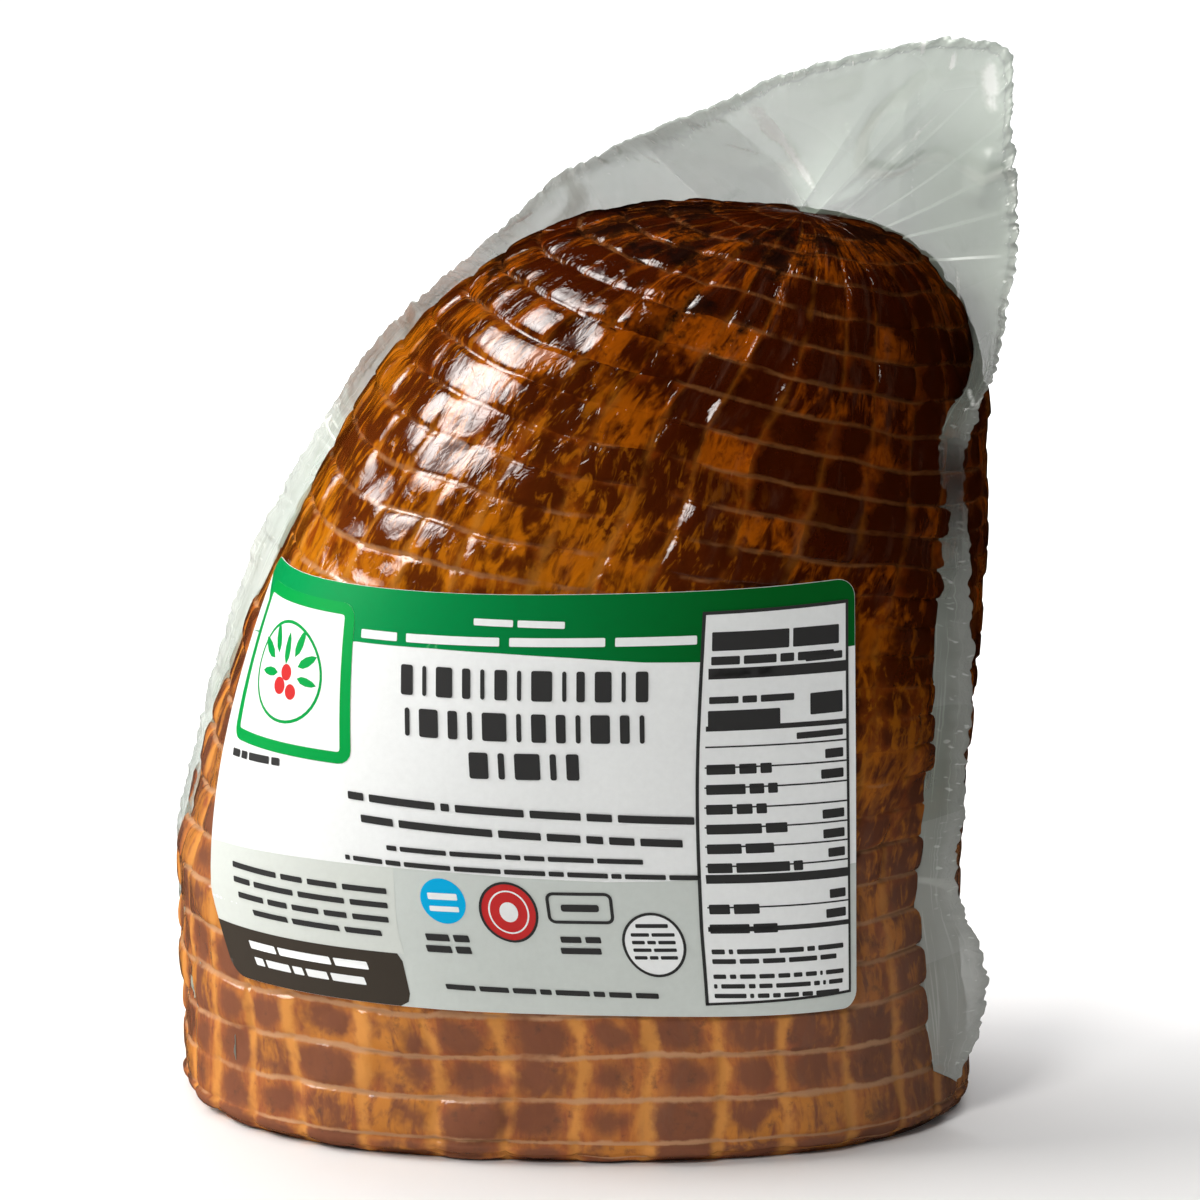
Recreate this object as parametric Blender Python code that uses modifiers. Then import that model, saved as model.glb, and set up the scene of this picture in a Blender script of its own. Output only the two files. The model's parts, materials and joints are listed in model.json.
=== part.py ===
"""A whole smoked ham sealed in a clear shrink bag, with a printed label on its front.

It stands on its flat end. +Z is up, the label faces -Y, and the origin is under the middle of the whole.
"""

import functools
import math

import bmesh
import bpy
from mathutils import Vector, noise

MM = 0.001
MIDDLE = Vector((0.19 * MM, 0.27 * MM, 0))  # brings the middle of the whole over the origin

# The ham as seen from the front: two sides that rise from a flat end and close at the knot of its net
HAM_LEFT = -92 * MM
HAM_RIGHT = 87.5 * MM
HAM_DEPTH = 126 * MM
KNOT = Vector((46 * MM, 0, 197.5 * MM))
LEFT_SHOULDER = 54 * MM  # height at which the left side starts to close in
RIGHT_SHOULDER = 138 * MM
DEPTH_SHOULDER = 61 * MM
LEFT_FULLNESS = (1.1, 3.0)  # powers of the curve from shoulder to knot: height, then width
RIGHT_FULLNESS = (2.5, 2.7)
DEPTH_FULLNESS = (1.9, 2.45)
LEFT_WAIST = (1 * MM, 0, 40 * MM)  # how far a side draws in, at which height, and over what reach
RIGHT_WAIST = (6 * MM, 48 * MM, 45 * MM)
DEPTH_WAIST = (2 * MM, 0, 50 * MM)
TOP_SLOPE = 0.075  # the top falls to the right
FOOT_ROUND = 5 * MM
SECTION_FULLNESS = 2.4  # 2 would make every section an ellipse
TURN = -0.035  # the right side stands a little further forward than the left
OUTLINE_STEPS = 240
BISECTIONS = 32
RING_LEAD = 0.035  # rings of the net run level near the foot and dip to the right higher up

# Low swells of the meat, as a share of its half width
SWELL = 0.016
SWELL_SCALE = 2.1
SWELL_CLIMB = 1.6  # how much faster the swells change with height than round the ham
SWELL_CALM = (0.08, 0.1)  # they fade over this share of the way, at the foot and at the knot

# The net: rings round the ham and cords up its sides, pressed into the meat
COLUMNS = 36
RINGS = 29
FLAT_ROWS = 2
FOOT_ROWS = 4
ROWS = FLAT_ROWS + FOOT_ROWS + 2 * (RINGS - 1)
RING_GROOVE = 1.7 * MM
CORD_GROOVE = 1.0 * MM
RING_WANDER = 0.16  # how far a ring strays from its place, in ring spacings
CORD_WANDER = 0.34
WANDER_SCALE = 3.0
WANDER_CLIMB = 2.4
WANDER_CALM = (0.06, 0.12)
CORD_SEED = Vector((7.3, 1.9, 4.1))
CALM_RADIUS = 38 * MM  # near the knot the grooves fade with the radius

# The label, top then bottom: its left edge by angle round the ham from +X, its right edge by x
LABEL_LEFT_ANGLE = (-171, -141.5)
LABEL_LEFT_HEIGHT = (122.5 * MM, 36.5 * MM)
LABEL_RIGHT_X = (56 * MM, 57.2 * MM)
LABEL_RIGHT_HEIGHT = (128.5 * MM, 33 * MM)
LABEL_COLUMNS = 26
LABEL_ROWS = 16
LABEL_CORNER = 0.7  # corner cut, in cells of the label's grid
LABEL_THICKNESS = 0.3 * MM
LABEL_GAP = 0.4 * MM

# The loose film: both walls of the bag pressed together, from the ham out to the sealed edge.
# Angles round the ham from +X at which the film leaves it, at the foot and at the knot
FILM_ANGLE_RIGHT = (-25, -41)
FILM_ANGLE_LEFT = (162, 162)
# Each point: share of the way round the ham at which the film leaves it (0 is the foot on the right,
# 1 the knot, 2 the foot on the left), then x and z of the sealed edge, in millimetres
FILM_EDGE = (
    (0.03, 80.5, 9),
    (0.08, 87, 27),
    (0.13, 86.5, 37),
    (0.20, 80, 56),
    (0.32, 81.5, 80),
    (0.46, 82.5, 106),
    (0.60, 81.5, 131),
    (0.69, 80.5, 148),
    (0.75, 84, 161),
    (0.80, 88, 172),
    (0.86, 91, 186),
    (0.90, 92.5, 197),
    (0.93, 90.5, 213),
    (0.95, 90.5, 227),
    (0.97, 89, 237),
    (1.00, 77, 238.5),
    (1.03, 60, 235),
    (1.06, 43, 230),
    (1.10, 29, 222.5),
    (1.15, 10, 213),
    (1.20, -7, 203.5),
    (1.25, -19, 192),
    (1.30, -29, 182.5),
    (1.36, -41, 172.5),
    (1.42, -51, 160.5),
    (1.50, -65, 137),
    (1.58, -75, 118),
    (1.66, -82, 98),
    (1.74, -88.5, 75),
    (1.82, -93, 52),
    (1.90, -91.5, 29),
    (1.97, -89, 8),
)
FILM_LEAN = 0.25  # the flap above the ham comes forward to the right
FILM_LEAN_X = 10 * MM
FILM_STRIP = 8 * MM  # up to this width the film stands straight out of the ham
FILM_FLAP = 34 * MM  # from this width on it lies in the flap's plane
FILM_COLUMNS = 104
FILM_BANDS = 5
FILM_THICKNESS = 0.7 * MM
FILM_GAP = 1.0 * MM
FILM_FOLD = 5 * MM  # depth of the broad folds at the sealed edge, where the film is wide
FILM_FOLD_WIDTH = 30 * MM
FILM_FOLD_SCALE = (26, 1.3)  # folds along the edge, and how they change outwards
FILM_FOLD_SEED = 0.5
FILM_CRINKLE = 1.6 * MM  # small crinkles along the sealed edge
FILM_CRINKLE_SCALE = (210, 2)
FILM_CRINKLE_SEED = 3.7
FILM_RAGGED = 1.0 * MM  # how far the sealed edge runs in and out

MEAT_COLOUR = (0.30, 0.10, 0.03)
PAPER_COLOUR = (0.86, 0.87, 0.86)
FILM_COLOUR = (0.80, 0.84, 0.82)


def side_outline(wall, top, shoulder, fullness, waist, slope):
    """Points (across, height) up one side, from the end of the foot's rounding to the knot."""
    points = []
    for step in range(OUTLINE_STEPS):
        height = FOOT_ROUND + (shoulder - FOOT_ROUND) * step / OUTLINE_STEPS
        points.append((wall, height))
    for step in range(OUTLINE_STEPS + 1):
        turn = step / OUTLINE_STEPS * math.pi / 2
        across = top + (wall - top) * max(math.cos(turn), 0) ** (2 / fullness[1])
        height = shoulder + (KNOT.z - shoulder) * math.sin(turn) ** (2 / fullness[0])
        points.append((across, height - slope * (across - top) * math.sin(turn) ** 4))
    amount, middle, reach = waist
    inward = math.copysign(amount, top - wall)
    return [(a + inward * math.exp(-((h - middle) / reach) ** 2), h) for a, h in points]


def lengths_along(points):
    """Running length at each point of an outline."""
    total = [0.0]
    for first, second in zip(points, points[1:]):
        total.append(total[-1] + math.dist(first, second))
    return total


class Outline:
    """A side of the ham that can be read at any share of its length."""

    def __init__(self, *shape):
        self.points = side_outline(*shape)
        self.lengths = lengths_along(self.points)

    def at(self, share):
        wanted = min(max(share, 0), 1) * self.lengths[-1]
        low, high = 0, len(self.lengths) - 1
        while high - low > 1:
            middle = (low + high) // 2
            if self.lengths[middle] <= wanted:
                low = middle
            else:
                high = middle
        span = self.lengths[high] - self.lengths[low]
        part = (wanted - self.lengths[low]) / span if span else 0
        first, second = self.points[low], self.points[high]
        return tuple(a + (b - a) * part for a, b in zip(first, second))


LEFT = Outline(HAM_LEFT, KNOT.x, LEFT_SHOULDER, LEFT_FULLNESS, LEFT_WAIST, TOP_SLOPE)
RIGHT = Outline(HAM_RIGHT, KNOT.x, RIGHT_SHOULDER, RIGHT_FULLNESS, RIGHT_WAIST, TOP_SLOPE)
DEPTH = Outline(HAM_DEPTH / 2, 0, DEPTH_SHOULDER, DEPTH_FULLNESS, DEPTH_WAIST, 0)


def ring(share):
    """Centre, half width vector and half depth of the ham's section at a share of the way up."""
    left = LEFT.at(share)
    right = RIGHT.at(share + RING_LEAD * math.sin(math.tau * share))
    depth = DEPTH.at(share)[0]
    left_point = Vector((left[0], TURN * left[0], left[1]))
    right_point = Vector((right[0], TURN * right[0], right[1]))
    return (left_point + right_point) / 2, (right_point - left_point) / 2, depth


def section(angle):
    """Point of a full rounded outline of half width and half depth 1."""
    across, back = math.cos(angle), math.sin(angle)
    size = (abs(across) ** SECTION_FULLNESS + abs(back) ** SECTION_FULLNESS) ** (-1 / SECTION_FULLNESS)
    return across * size, back * size


def calm_at(share, reach):
    """Factor that falls to 0 at the foot and at the knot."""
    return min(1, share / reach[0]) * min(1, (1 - share) / reach[1])


def swell(angle, share):
    """Slow in and out of the meat, none at the foot or the knot."""
    place = Vector((math.cos(angle), math.sin(angle), share * SWELL_CLIMB)) * SWELL_SCALE
    return 1 + SWELL * calm_at(share, SWELL_CALM) * noise.noise(place)


def ham_skin(angle, share):
    """Point of the ham's outer form above the foot, the net's grooves left out."""
    centre, half_width, depth = ring(share)
    size = swell(angle, share)
    across, back = section(angle)
    return centre + half_width * across * size + Vector((0, depth * back * size, 0))


def foot_skin(angle, turn):
    """Point of the rounded foot: turn 0 is the rim of the flat end, 1 the foot's top."""
    centre, half_width, depth = ring(0)
    inset = FOOT_ROUND * (1 - math.sin(turn * math.pi / 2))
    height = FOOT_ROUND * (1 - math.cos(turn * math.pi / 2))
    across, back = section(angle)
    x = centre.x + (half_width.x - inset) * across
    return Vector((x, TURN * x + (depth - inset) * back, height))


def net_wander(angle, share):
    """How far the net strays at this spot, in ring spacings and in cord spacings."""
    place = Vector((math.cos(angle), math.sin(angle), share * WANDER_CLIMB)) * WANDER_SCALE
    calm = calm_at(share, WANDER_CALM)
    return (
        RING_WANDER * calm * noise.noise(place),
        CORD_WANDER * calm * noise.noise(place + CORD_SEED),
    )


def ham_vertex(angle, row):
    """Place of a vertex of the ham's mesh on its outer form, by the angle and the row it is in."""
    if row <= FLAT_ROWS:
        rim = foot_skin(angle, 0)
        middle = Vector((ring(0)[0].x, ring(0)[0].y, 0))
        return middle.lerp(rim, row / FLAT_ROWS)
    if row <= FLAT_ROWS + FOOT_ROWS:
        return foot_skin(angle, (row - FLAT_ROWS) / FOOT_ROWS)
    share = (row - FLAT_ROWS - FOOT_ROWS) / (ROWS - FLAT_ROWS - FOOT_ROWS)
    ring_stray, cord_stray = net_wander(angle, share)
    angle += cord_stray * math.tau / COLUMNS
    share += ring_stray / (RINGS - 1)
    return ham_skin(angle, share)


def groove_depth(column, row, radius):
    """How deep the net presses in at a vertex: even columns and rows lie under its cords."""
    if row <= FLAT_ROWS + 1:
        return 0
    depth = 0
    if row % 2 == 0:
        depth += RING_GROOVE
    if column % 2 == 0:
        depth += CORD_GROOVE
    return depth * min(1, radius / CALM_RADIUS)


def new_object(name, mesh_maker, surface):
    """An object in the part's collection, whose mesh a function fills."""
    mesh = bpy.data.meshes.new(name)
    shape = bmesh.new()
    mesh_maker(shape)
    bmesh.ops.recalc_face_normals(shape, faces=shape.faces)
    shape.to_mesh(mesh)
    shape.free()
    mesh.materials.append(surface)
    mesh.shade_smooth()
    made = bpy.data.objects.new(name, mesh)
    made.location = MIDDLE
    PART.objects.link(made)
    return made


def material(name, colour, roughness, alpha=1.0):
    """A plain Principled material, of no metal."""
    made = bpy.data.materials.new(name)
    made.use_nodes = True
    shader = made.node_tree.nodes["Principled BSDF"]
    shader.inputs["Base Color"].default_value = (*colour, 1)
    shader.inputs["Roughness"].default_value = roughness
    shader.inputs["Metallic"].default_value = 0
    shader.inputs["Alpha"].default_value = alpha
    return made


def shape_ham(shape):
    """A sphere of rows and columns drawn out to the ham, then quilted by the net."""
    bmesh.ops.create_uvsphere(shape, u_segments=2 * COLUMNS, v_segments=ROWS, radius=1)
    places = {}
    for vert in shape.verts:
        row = round((1 - math.acos(max(-1, min(1, vert.co.z))) / math.pi) * ROWS)
        angle = math.atan2(vert.co.y, vert.co.x)
        column = round(angle / math.tau * 2 * COLUMNS) % (2 * COLUMNS)
        places[vert] = (row, column)
        vert.co = ham_vertex(angle, row)
    bmesh.ops.recalc_face_normals(shape, faces=shape.faces)
    shape.normal_update()
    pressed = {}
    for vert, (row, column) in places.items():
        spot = ring((row - FLAT_ROWS - FOOT_ROWS) / (ROWS - FLAT_ROWS - FOOT_ROWS))
        pressed[vert] = vert.normal * groove_depth(column, row, spot[2])
    for vert, step in pressed.items():
        vert.co -= step


def share_at_height(angle, height):
    """Share of the way up at which the ham's skin reaches a height, at this angle."""
    low, high = 0.0, 1.0
    for _ in range(BISECTIONS):
        middle = (low + high) / 2
        if ham_skin(angle, middle).z < height:
            low = middle
        else:
            high = middle
    return low


def between(ends, up):
    """Value between a top and a bottom one, up running from 0 to 1."""
    return ends[1] + (ends[0] - ends[1]) * up


@functools.cache
def label_right_angle(up):
    """Angle round the ham at which the label's straight right edge lies."""
    wanted, height = between(LABEL_RIGHT_X, up), between(LABEL_RIGHT_HEIGHT, up)
    low, high = -math.pi / 2, 0.0
    for _ in range(BISECTIONS):
        middle = (low + high) / 2
        if ham_skin(middle, share_at_height(middle, height)).x < wanted:
            low = middle
        else:
            high = middle
    return low


def label_point(across, up):
    """Point of the ham's skin under the label: across and up run from 0 to 1."""
    left = math.radians(between(LABEL_LEFT_ANGLE, up))
    angle = left + (label_right_angle(up) - left) * across
    low = between(LABEL_LEFT_HEIGHT, up)
    height = low + (between(LABEL_RIGHT_HEIGHT, up) - low) * across
    return ham_skin(angle, share_at_height(angle, height))


def shape_label(shape):
    """A flat sheet with cut corners, laid on the ham's skin."""
    bmesh.ops.create_grid(shape, x_segments=LABEL_COLUMNS, y_segments=LABEL_ROWS, size=0.5)
    corners = [vert for vert in shape.verts if len(vert.link_edges) == 2]
    cell = 1 / LABEL_COLUMNS
    bmesh.ops.bevel(
        shape, geom=corners, offset=LABEL_CORNER * cell, segments=3, profile=0.5, affect="VERTICES"
    )
    for vert in shape.verts:
        vert.co = label_point(vert.co.x + 0.5, vert.co.y + 0.5)
    bmesh.ops.recalc_face_normals(shape, faces=shape.faces)
    shape.normal_update()
    if sum(vert.normal.y for vert in shape.verts) > 0:
        bmesh.ops.reverse_faces(shape, faces=shape.faces)
        shape.normal_update()
    lifted = {vert: vert.co + vert.normal * (LABEL_GAP + LABEL_THICKNESS / 2) for vert in shape.verts}
    for vert, place in lifted.items():
        vert.co = place


def edge_through(points, share):
    """Smooth curve through points that hold any number of values, read at a share of its spans."""
    spans = len(points) - 1
    first = min(int(share * spans), spans - 1)
    part = share * spans - first
    near = [points[min(max(first + step, 0), spans)] for step in (-1, 0, 1, 2)]
    return [
        0.5 * (2 * b + (c - a) * part + (2 * a - 5 * b + 4 * c - d) * part**2
               + (3 * b - a - 3 * c + d) * part**3)
        for a, b, c, d in zip(*near)
    ]


def film_point(along, out):
    """Point of the loose film: along its edge from right foot to left foot, out from the ham."""
    leave, x, z = edge_through(FILM_EDGE, along)
    angles = FILM_ANGLE_RIGHT if leave < 1 else FILM_ANGLE_LEFT
    climb = leave if leave < 1 else 2 - leave
    root = ham_skin(math.radians(angles[0] + (angles[1] - angles[0]) * climb), climb)
    edge = Vector((x * MM, root.y, z * MM))
    flap = min(1, max(0, ((edge - root).length - FILM_STRIP) / (FILM_FLAP - FILM_STRIP)))
    edge.y += (-FILM_LEAN * (edge.x - FILM_LEAN_X) - root.y) * flap
    rib = edge - root
    start = root + rib.normalized() * FILM_GAP
    fold = noise.noise(Vector((along * FILM_FOLD_SCALE[0], out * FILM_FOLD_SCALE[1], FILM_FOLD_SEED)))
    crinkle = noise.noise(
        Vector((along * FILM_CRINKLE_SCALE[0], out * FILM_CRINKLE_SCALE[1], FILM_CRINKLE_SEED))
    )
    reach = min(1, rib.length / FILM_FOLD_WIDTH)
    aside = Vector((FILM_LEAN, 1, 0)).normalized()
    point = start.lerp(edge, out)
    point += aside * fold * FILM_FOLD * reach * out
    point += aside * crinkle * FILM_CRINKLE * out**2
    return point + rib.normalized() * crinkle * FILM_RAGGED * out**4


def shape_film(shape):
    """A long strip of film bent round the ham, from its surface to the bag's sealed edge."""
    bmesh.ops.create_grid(shape, x_segments=FILM_COLUMNS, y_segments=FILM_BANDS, size=0.5)
    for vert in shape.verts:
        vert.co = film_point(vert.co.x + 0.5, vert.co.y + 0.5)


def thicken(thing, thickness):
    """Gives an open sheet its thickness, half on each side."""
    wall = thing.modifiers.new("thickness", "SOLIDIFY")
    wall.thickness = thickness
    wall.offset = 0
    wall.use_even_offset = True


def build():
    meat = material("smoked_meat", MEAT_COLOUR, roughness=0.25)
    paper = material("label_paper", PAPER_COLOUR, roughness=0.45)
    film = material("clear_film", FILM_COLOUR, roughness=0.12, alpha=0.35)
    new_object("ham", shape_ham, meat)
    label = new_object("label", shape_label, paper)
    thicken(label, LABEL_THICKNESS)
    bag = new_object("bag_edge", shape_film, film)
    thicken(bag, FILM_THICKNESS)


for old in list(bpy.data.objects):
    bpy.data.objects.remove(old)
PART = bpy.data.collections.new("sealed_ham")
bpy.context.scene.collection.children.link(PART)
build()
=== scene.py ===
"""Looks of a smoked ham in a clear shrink bag: meat under its net, loose film, printed label, studio."""

import functools
import json
import math
from bisect import bisect_right

import bmesh
import bpy
from bpy.props import FloatProperty, FloatVectorProperty, PointerProperty
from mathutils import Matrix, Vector, noise

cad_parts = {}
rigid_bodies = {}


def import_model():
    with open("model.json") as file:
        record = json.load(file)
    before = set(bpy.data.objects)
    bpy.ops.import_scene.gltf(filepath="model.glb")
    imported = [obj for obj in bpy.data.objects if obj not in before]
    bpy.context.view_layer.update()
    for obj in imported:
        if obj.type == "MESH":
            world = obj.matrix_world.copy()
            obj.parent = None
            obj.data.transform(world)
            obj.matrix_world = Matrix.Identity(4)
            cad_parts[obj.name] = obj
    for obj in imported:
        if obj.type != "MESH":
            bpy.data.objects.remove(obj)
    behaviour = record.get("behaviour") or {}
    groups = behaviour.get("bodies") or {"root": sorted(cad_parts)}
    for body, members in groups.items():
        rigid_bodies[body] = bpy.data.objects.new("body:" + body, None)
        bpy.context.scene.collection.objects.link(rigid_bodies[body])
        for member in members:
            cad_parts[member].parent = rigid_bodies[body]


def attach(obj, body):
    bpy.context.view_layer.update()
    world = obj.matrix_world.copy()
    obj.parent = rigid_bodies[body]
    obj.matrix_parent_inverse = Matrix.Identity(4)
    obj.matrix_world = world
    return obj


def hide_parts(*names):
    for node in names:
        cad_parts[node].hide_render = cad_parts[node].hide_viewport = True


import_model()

bl_info = {
    "name": "Glazed Ham in a Shrink Bag",
    "version": (1, 0, 0),
    "blender": (4, 5, 0),
    "location": "3D View > Sidebar > Glazed Ham",
    "description": "Builds a netted smoked ham in clear film with a plain label",
    "category": "Object",
}

MM = 0.001
VIEW_ELEVATION = math.radians(14)
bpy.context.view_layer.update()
MIDDLE = Vector((0.19 * MM, 0.27 * MM, 0))  # from the ham's own axes to the whole's middle

# ---- The ham's outer form, as in the solids ----

HAM_LEFT = -92 * MM
HAM_RIGHT = 87.5 * MM
HAM_DEPTH = 126 * MM
KNOT = Vector((46 * MM, 0, 197.5 * MM))
LEFT_SHOULDER = 54 * MM
RIGHT_SHOULDER = 138 * MM
DEPTH_SHOULDER = 61 * MM
LEFT_FULLNESS = (1.1, 3.0)
RIGHT_FULLNESS = (2.5, 2.7)
DEPTH_FULLNESS = (1.9, 2.45)
LEFT_WAIST = (1 * MM, 0, 40 * MM)
RIGHT_WAIST = (6 * MM, 48 * MM, 45 * MM)
DEPTH_WAIST = (2 * MM, 0, 50 * MM)
TOP_SLOPE = 0.075
FOOT_ROUND = 5 * MM
SECTION_FULLNESS = 2.4
TURN = -0.035
OUTLINE_STEPS = 240
RING_LEAD = 0.035
SWELL = 0.016
SWELL_SCALE = 2.1
SWELL_CLIMB = 1.6
SWELL_CALM = (0.08, 0.1)

# ---- The net ----

COLUMNS = 36
RINGS = 29
SPACINGS = RINGS - 1
RING_WANDER = 0.16
CORD_WANDER = 0.34
WANDER_SCALE = 3.0
WANDER_CLIMB = 2.4
WANDER_CALM = (0.06, 0.12)
CORD_SEED = Vector((7.3, 1.9, 4.1))
CALM_RADIUS = 38 * MM

# ---- The meat's relief ----

CELL_PLUMP = 0.45 * MM
RELIEF_TOP = 0.3 * MM
CRUST_STARTS = 0.74  # share of the way up
CRUST_RISE = 0.16
CRUST_LUMPS = 1.1 * MM
CRUST_GRAIN = 0.7 * MM

# ---- The ham's mesh ----

FINE_COLUMNS = 10  # columns of the mesh from cord to cord
FINE_ROWS = 8  # rows from ring to ring
FLAT_ROWS = 4
FOOT_ROWS = 10
HAM_SEGMENTS = COLUMNS * FINE_COLUMNS
BODY_ROWS = SPACINGS * FINE_ROWS
HAM_ROWS = FLAT_ROWS + FOOT_ROWS + BODY_ROWS
SEAM = COLUMNS / 4  # the net's map starts at the back
ROW_DRAW = 0.55
COLUMN_DRAW = 0.35

# ---- The label, in millimetres from its lower left corner ----

LABEL_LEFT_ANGLE = (-171, -141.5)
LABEL_LEFT_HEIGHT = (122.5 * MM, 36.5 * MM)
LABEL_RIGHT_X = (56 * MM, 57.2 * MM)
LABEL_RIGHT_HEIGHT = (128.5 * MM, 33 * MM)
LABEL_WIDTH = 150
LABEL_HEIGHT = 94
LABEL_CELL = 2.0
LABEL_LIFT = 0.55 * MM
LABEL_CORNER = 4.0
LABEL_SHEET = 0.25 * MM
INK = 0.02 * MM
INK_LIFT = 0.03  # millimetres of the lowest ink over the label
INK_STEP = 0.018  # millimetres from one level of ink to the next
INK_CELL = (1.5, 4.0)  # millimetres across and up of the pieces that ink is cut into
RIM = 0.08  # bare rim of the label round its print
RIM_RIGHT = LABEL_WIDTH - RIM
BISECTIONS = 24

# ---- The loose film, from the right foot round to the left foot, as in the solids ----

FILM_ANGLE_RIGHT = (-25, -41)
FILM_ANGLE_LEFT = 162
# Points of the sealed edge: the share of the way up the ham where the film leaves it, counted on down
# the left side, and the edge's x and z in millimetres
FILM_EDGE = (
    (0.03, 80.5, 9), (0.08, 87, 27), (0.13, 86.5, 37), (0.20, 80, 56), (0.32, 81.5, 80),
    (0.46, 82.5, 106), (0.60, 81.5, 131), (0.69, 80.5, 148), (0.75, 84, 161), (0.80, 88, 172),
    (0.86, 91, 186), (0.90, 92.5, 197), (0.93, 90.5, 213), (0.95, 90.5, 227), (0.97, 89, 237),
    (1.00, 77, 238.5), (1.03, 60, 235), (1.06, 43, 230), (1.10, 29, 222.5), (1.15, 10, 213),
    (1.20, -7, 203.5), (1.25, -19, 192), (1.30, -29, 182.5), (1.36, -41, 172.5),
    (1.42, -51, 160.5), (1.50, -65, 137), (1.58, -75, 118), (1.66, -82, 98),
    (1.74, -88.5, 75), (1.82, -93, 52), (1.90, -91.5, 29), (1.97, -89, 8),
)
FILM_LEAN = 0.25
FILM_LEAN_X = 10 * MM
FILM_STRIP = 8 * MM
FILM_FLAP = 34 * MM
FILM_FOLD_WIDTH = 30 * MM
FILM_FOLD_SCALE = (26, 1.3)
FILM_FOLD_SEED = 0.5
FILM_SEGMENTS = 900
FILM_BANDS = 40
FILM_BEHIND = 20.0  # millimetres added to the back wall's reach, so that it fades later than the front
FILM_BACK_WIDTHS = (3, 7)  # widths in millimetres over which the back wall gets that
FILM_ROOT_DEPTH = 1.1 * MM
FILM_ROOT_SHARES = (0.004, 0.985)
FILM_CROWN = (0.72, 0.84)  # shares of the way up where its roots turn to the ham's seen outline
FILM_ROOT_LOW = 4  # degrees
FILM_ROOT_FRONT = 6
FILM_ROOT_BACK = 8
FILM_RIM = 6.0  # millimetres of its edge that are crimped
FILM_SEAL = (1.6, 3.4)
FILM_APART = 0.7
FILM_SEALED_APART = 0.14


# ======== Sizes and colours that a user would change ========


class HamMeat(bpy.types.PropertyGroup):
    """Sizes and colours of the ham itself."""

    ring_groove: FloatProperty(
        name="Ring groove", description="How deep the rings of the net press in",
        default=1.3 * MM, unit="LENGTH")
    cord_groove: FloatProperty(
        name="Cord groove", description="How deep the upright cords of the net press in",
        default=0.8 * MM, unit="LENGTH")
    lumps: FloatProperty(
        name="Lumps", description="Height of the lumps of the meat",
        default=0.7 * MM, unit="LENGTH")
    golden: FloatVectorProperty(
        name="Golden", description="Meat under the cords of the net",
        default=(0.68, 0.27, 0.035), subtype="COLOR")
    smoked: FloatVectorProperty(
        name="Smoked", description="Red brown of the middle of each cell",
        default=(0.150, 0.030, 0.0045), subtype="COLOR")
    char: FloatVectorProperty(
        name="Char", description="Darkest crust, near the knot",
        default=(0.008, 0.003, 0.002), subtype="COLOR")
    # The pale line along each ring is partly a painted reflection of the film bridging its groove
    ring_line_and_sheen: FloatVectorProperty(
        name="Strand", description="Pale line that each ring of the net leaves",
        default=(0.56, 0.30, 0.145), subtype="COLOR")


class HamFilm(bpy.types.PropertyGroup):
    """Sizes and colours of the clear film."""

    tint: FloatVectorProperty(
        name="Tint", description="Grey green of the loose film",
        default=(0.36, 0.44, 0.36), subtype="COLOR")
    cover: FloatProperty(
        name="Cover", description="How much of what is behind one wall of the film it hides",
        default=0.55, min=0, max=1, subtype="FACTOR")
    fold: FloatProperty(
        name="Fold", description="Depth of the broad folds", default=5 * MM, unit="LENGTH")
    crinkle: FloatProperty(
        name="Crinkle", description="Depth of the small crinkles at the sealed edge",
        default=1.3 * MM, unit="LENGTH")


class HamLabel(bpy.types.PropertyGroup):
    """Colours of the label and its print."""

    paper: FloatVectorProperty(
        name="Paper", description="White of the label", default=(0.90, 0.93, 0.93), subtype="COLOR")
    band: FloatVectorProperty(
        name="Band", description="Green along the top, at its left", default=(0.0, 0.29, 0.075),
        subtype="COLOR")
    band_right: FloatVectorProperty(
        name="Band right", description="Deeper green of its right end", default=(0.0, 0.115, 0.014),
        subtype="COLOR")
    field: FloatVectorProperty(
        name="Field", description="Grey along the foot", default=(0.62, 0.67, 0.64), subtype="COLOR")
    box: FloatVectorProperty(
        name="Box", description="Dark block at the lower left", default=(0.055, 0.045, 0.035),
        subtype="COLOR")
    ink: FloatVectorProperty(
        name="Ink", description="Dark print", default=(0.040, 0.040, 0.040), subtype="COLOR")
    blue: FloatVectorProperty(
        name="Blue", description="Blue disc", default=(0.0, 0.44, 0.82), subtype="COLOR")
    red: FloatVectorProperty(
        name="Red", description="Red disc and berries", default=(0.60, 0.03, 0.03), subtype="COLOR")


class HamStage(bpy.types.PropertyGroup):
    """Light, floor and camera."""

    key: FloatProperty(
        name="Key", description="Power of the soft light at the left", default=2.0, unit="POWER")
    fill: FloatProperty(
        name="Fill", description="Power of the small soft light in front", default=0.55, unit="POWER")
    gloss: FloatProperty(
        name="Gloss", description="Power of the broad panel that the gloss mirrors", default=4.7,
        unit="POWER")
    floor_light: FloatProperty(
        name="Floor light", description="Power of the soft light over the floor behind", default=48.0,
        unit="POWER")
    sky: FloatProperty(
        name="Sky", description="Strength of the light from all round", default=0.14)
    floor: FloatVectorProperty(
        name="Floor", description="Pale floor", default=(0.92, 0.92, 0.92), subtype="COLOR")
    elevation: FloatProperty(
        name="Elevation", description="Angle of the camera above the floor",
        default=VIEW_ELEVATION, subtype="ANGLE")


# ======== Shaders ========


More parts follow.
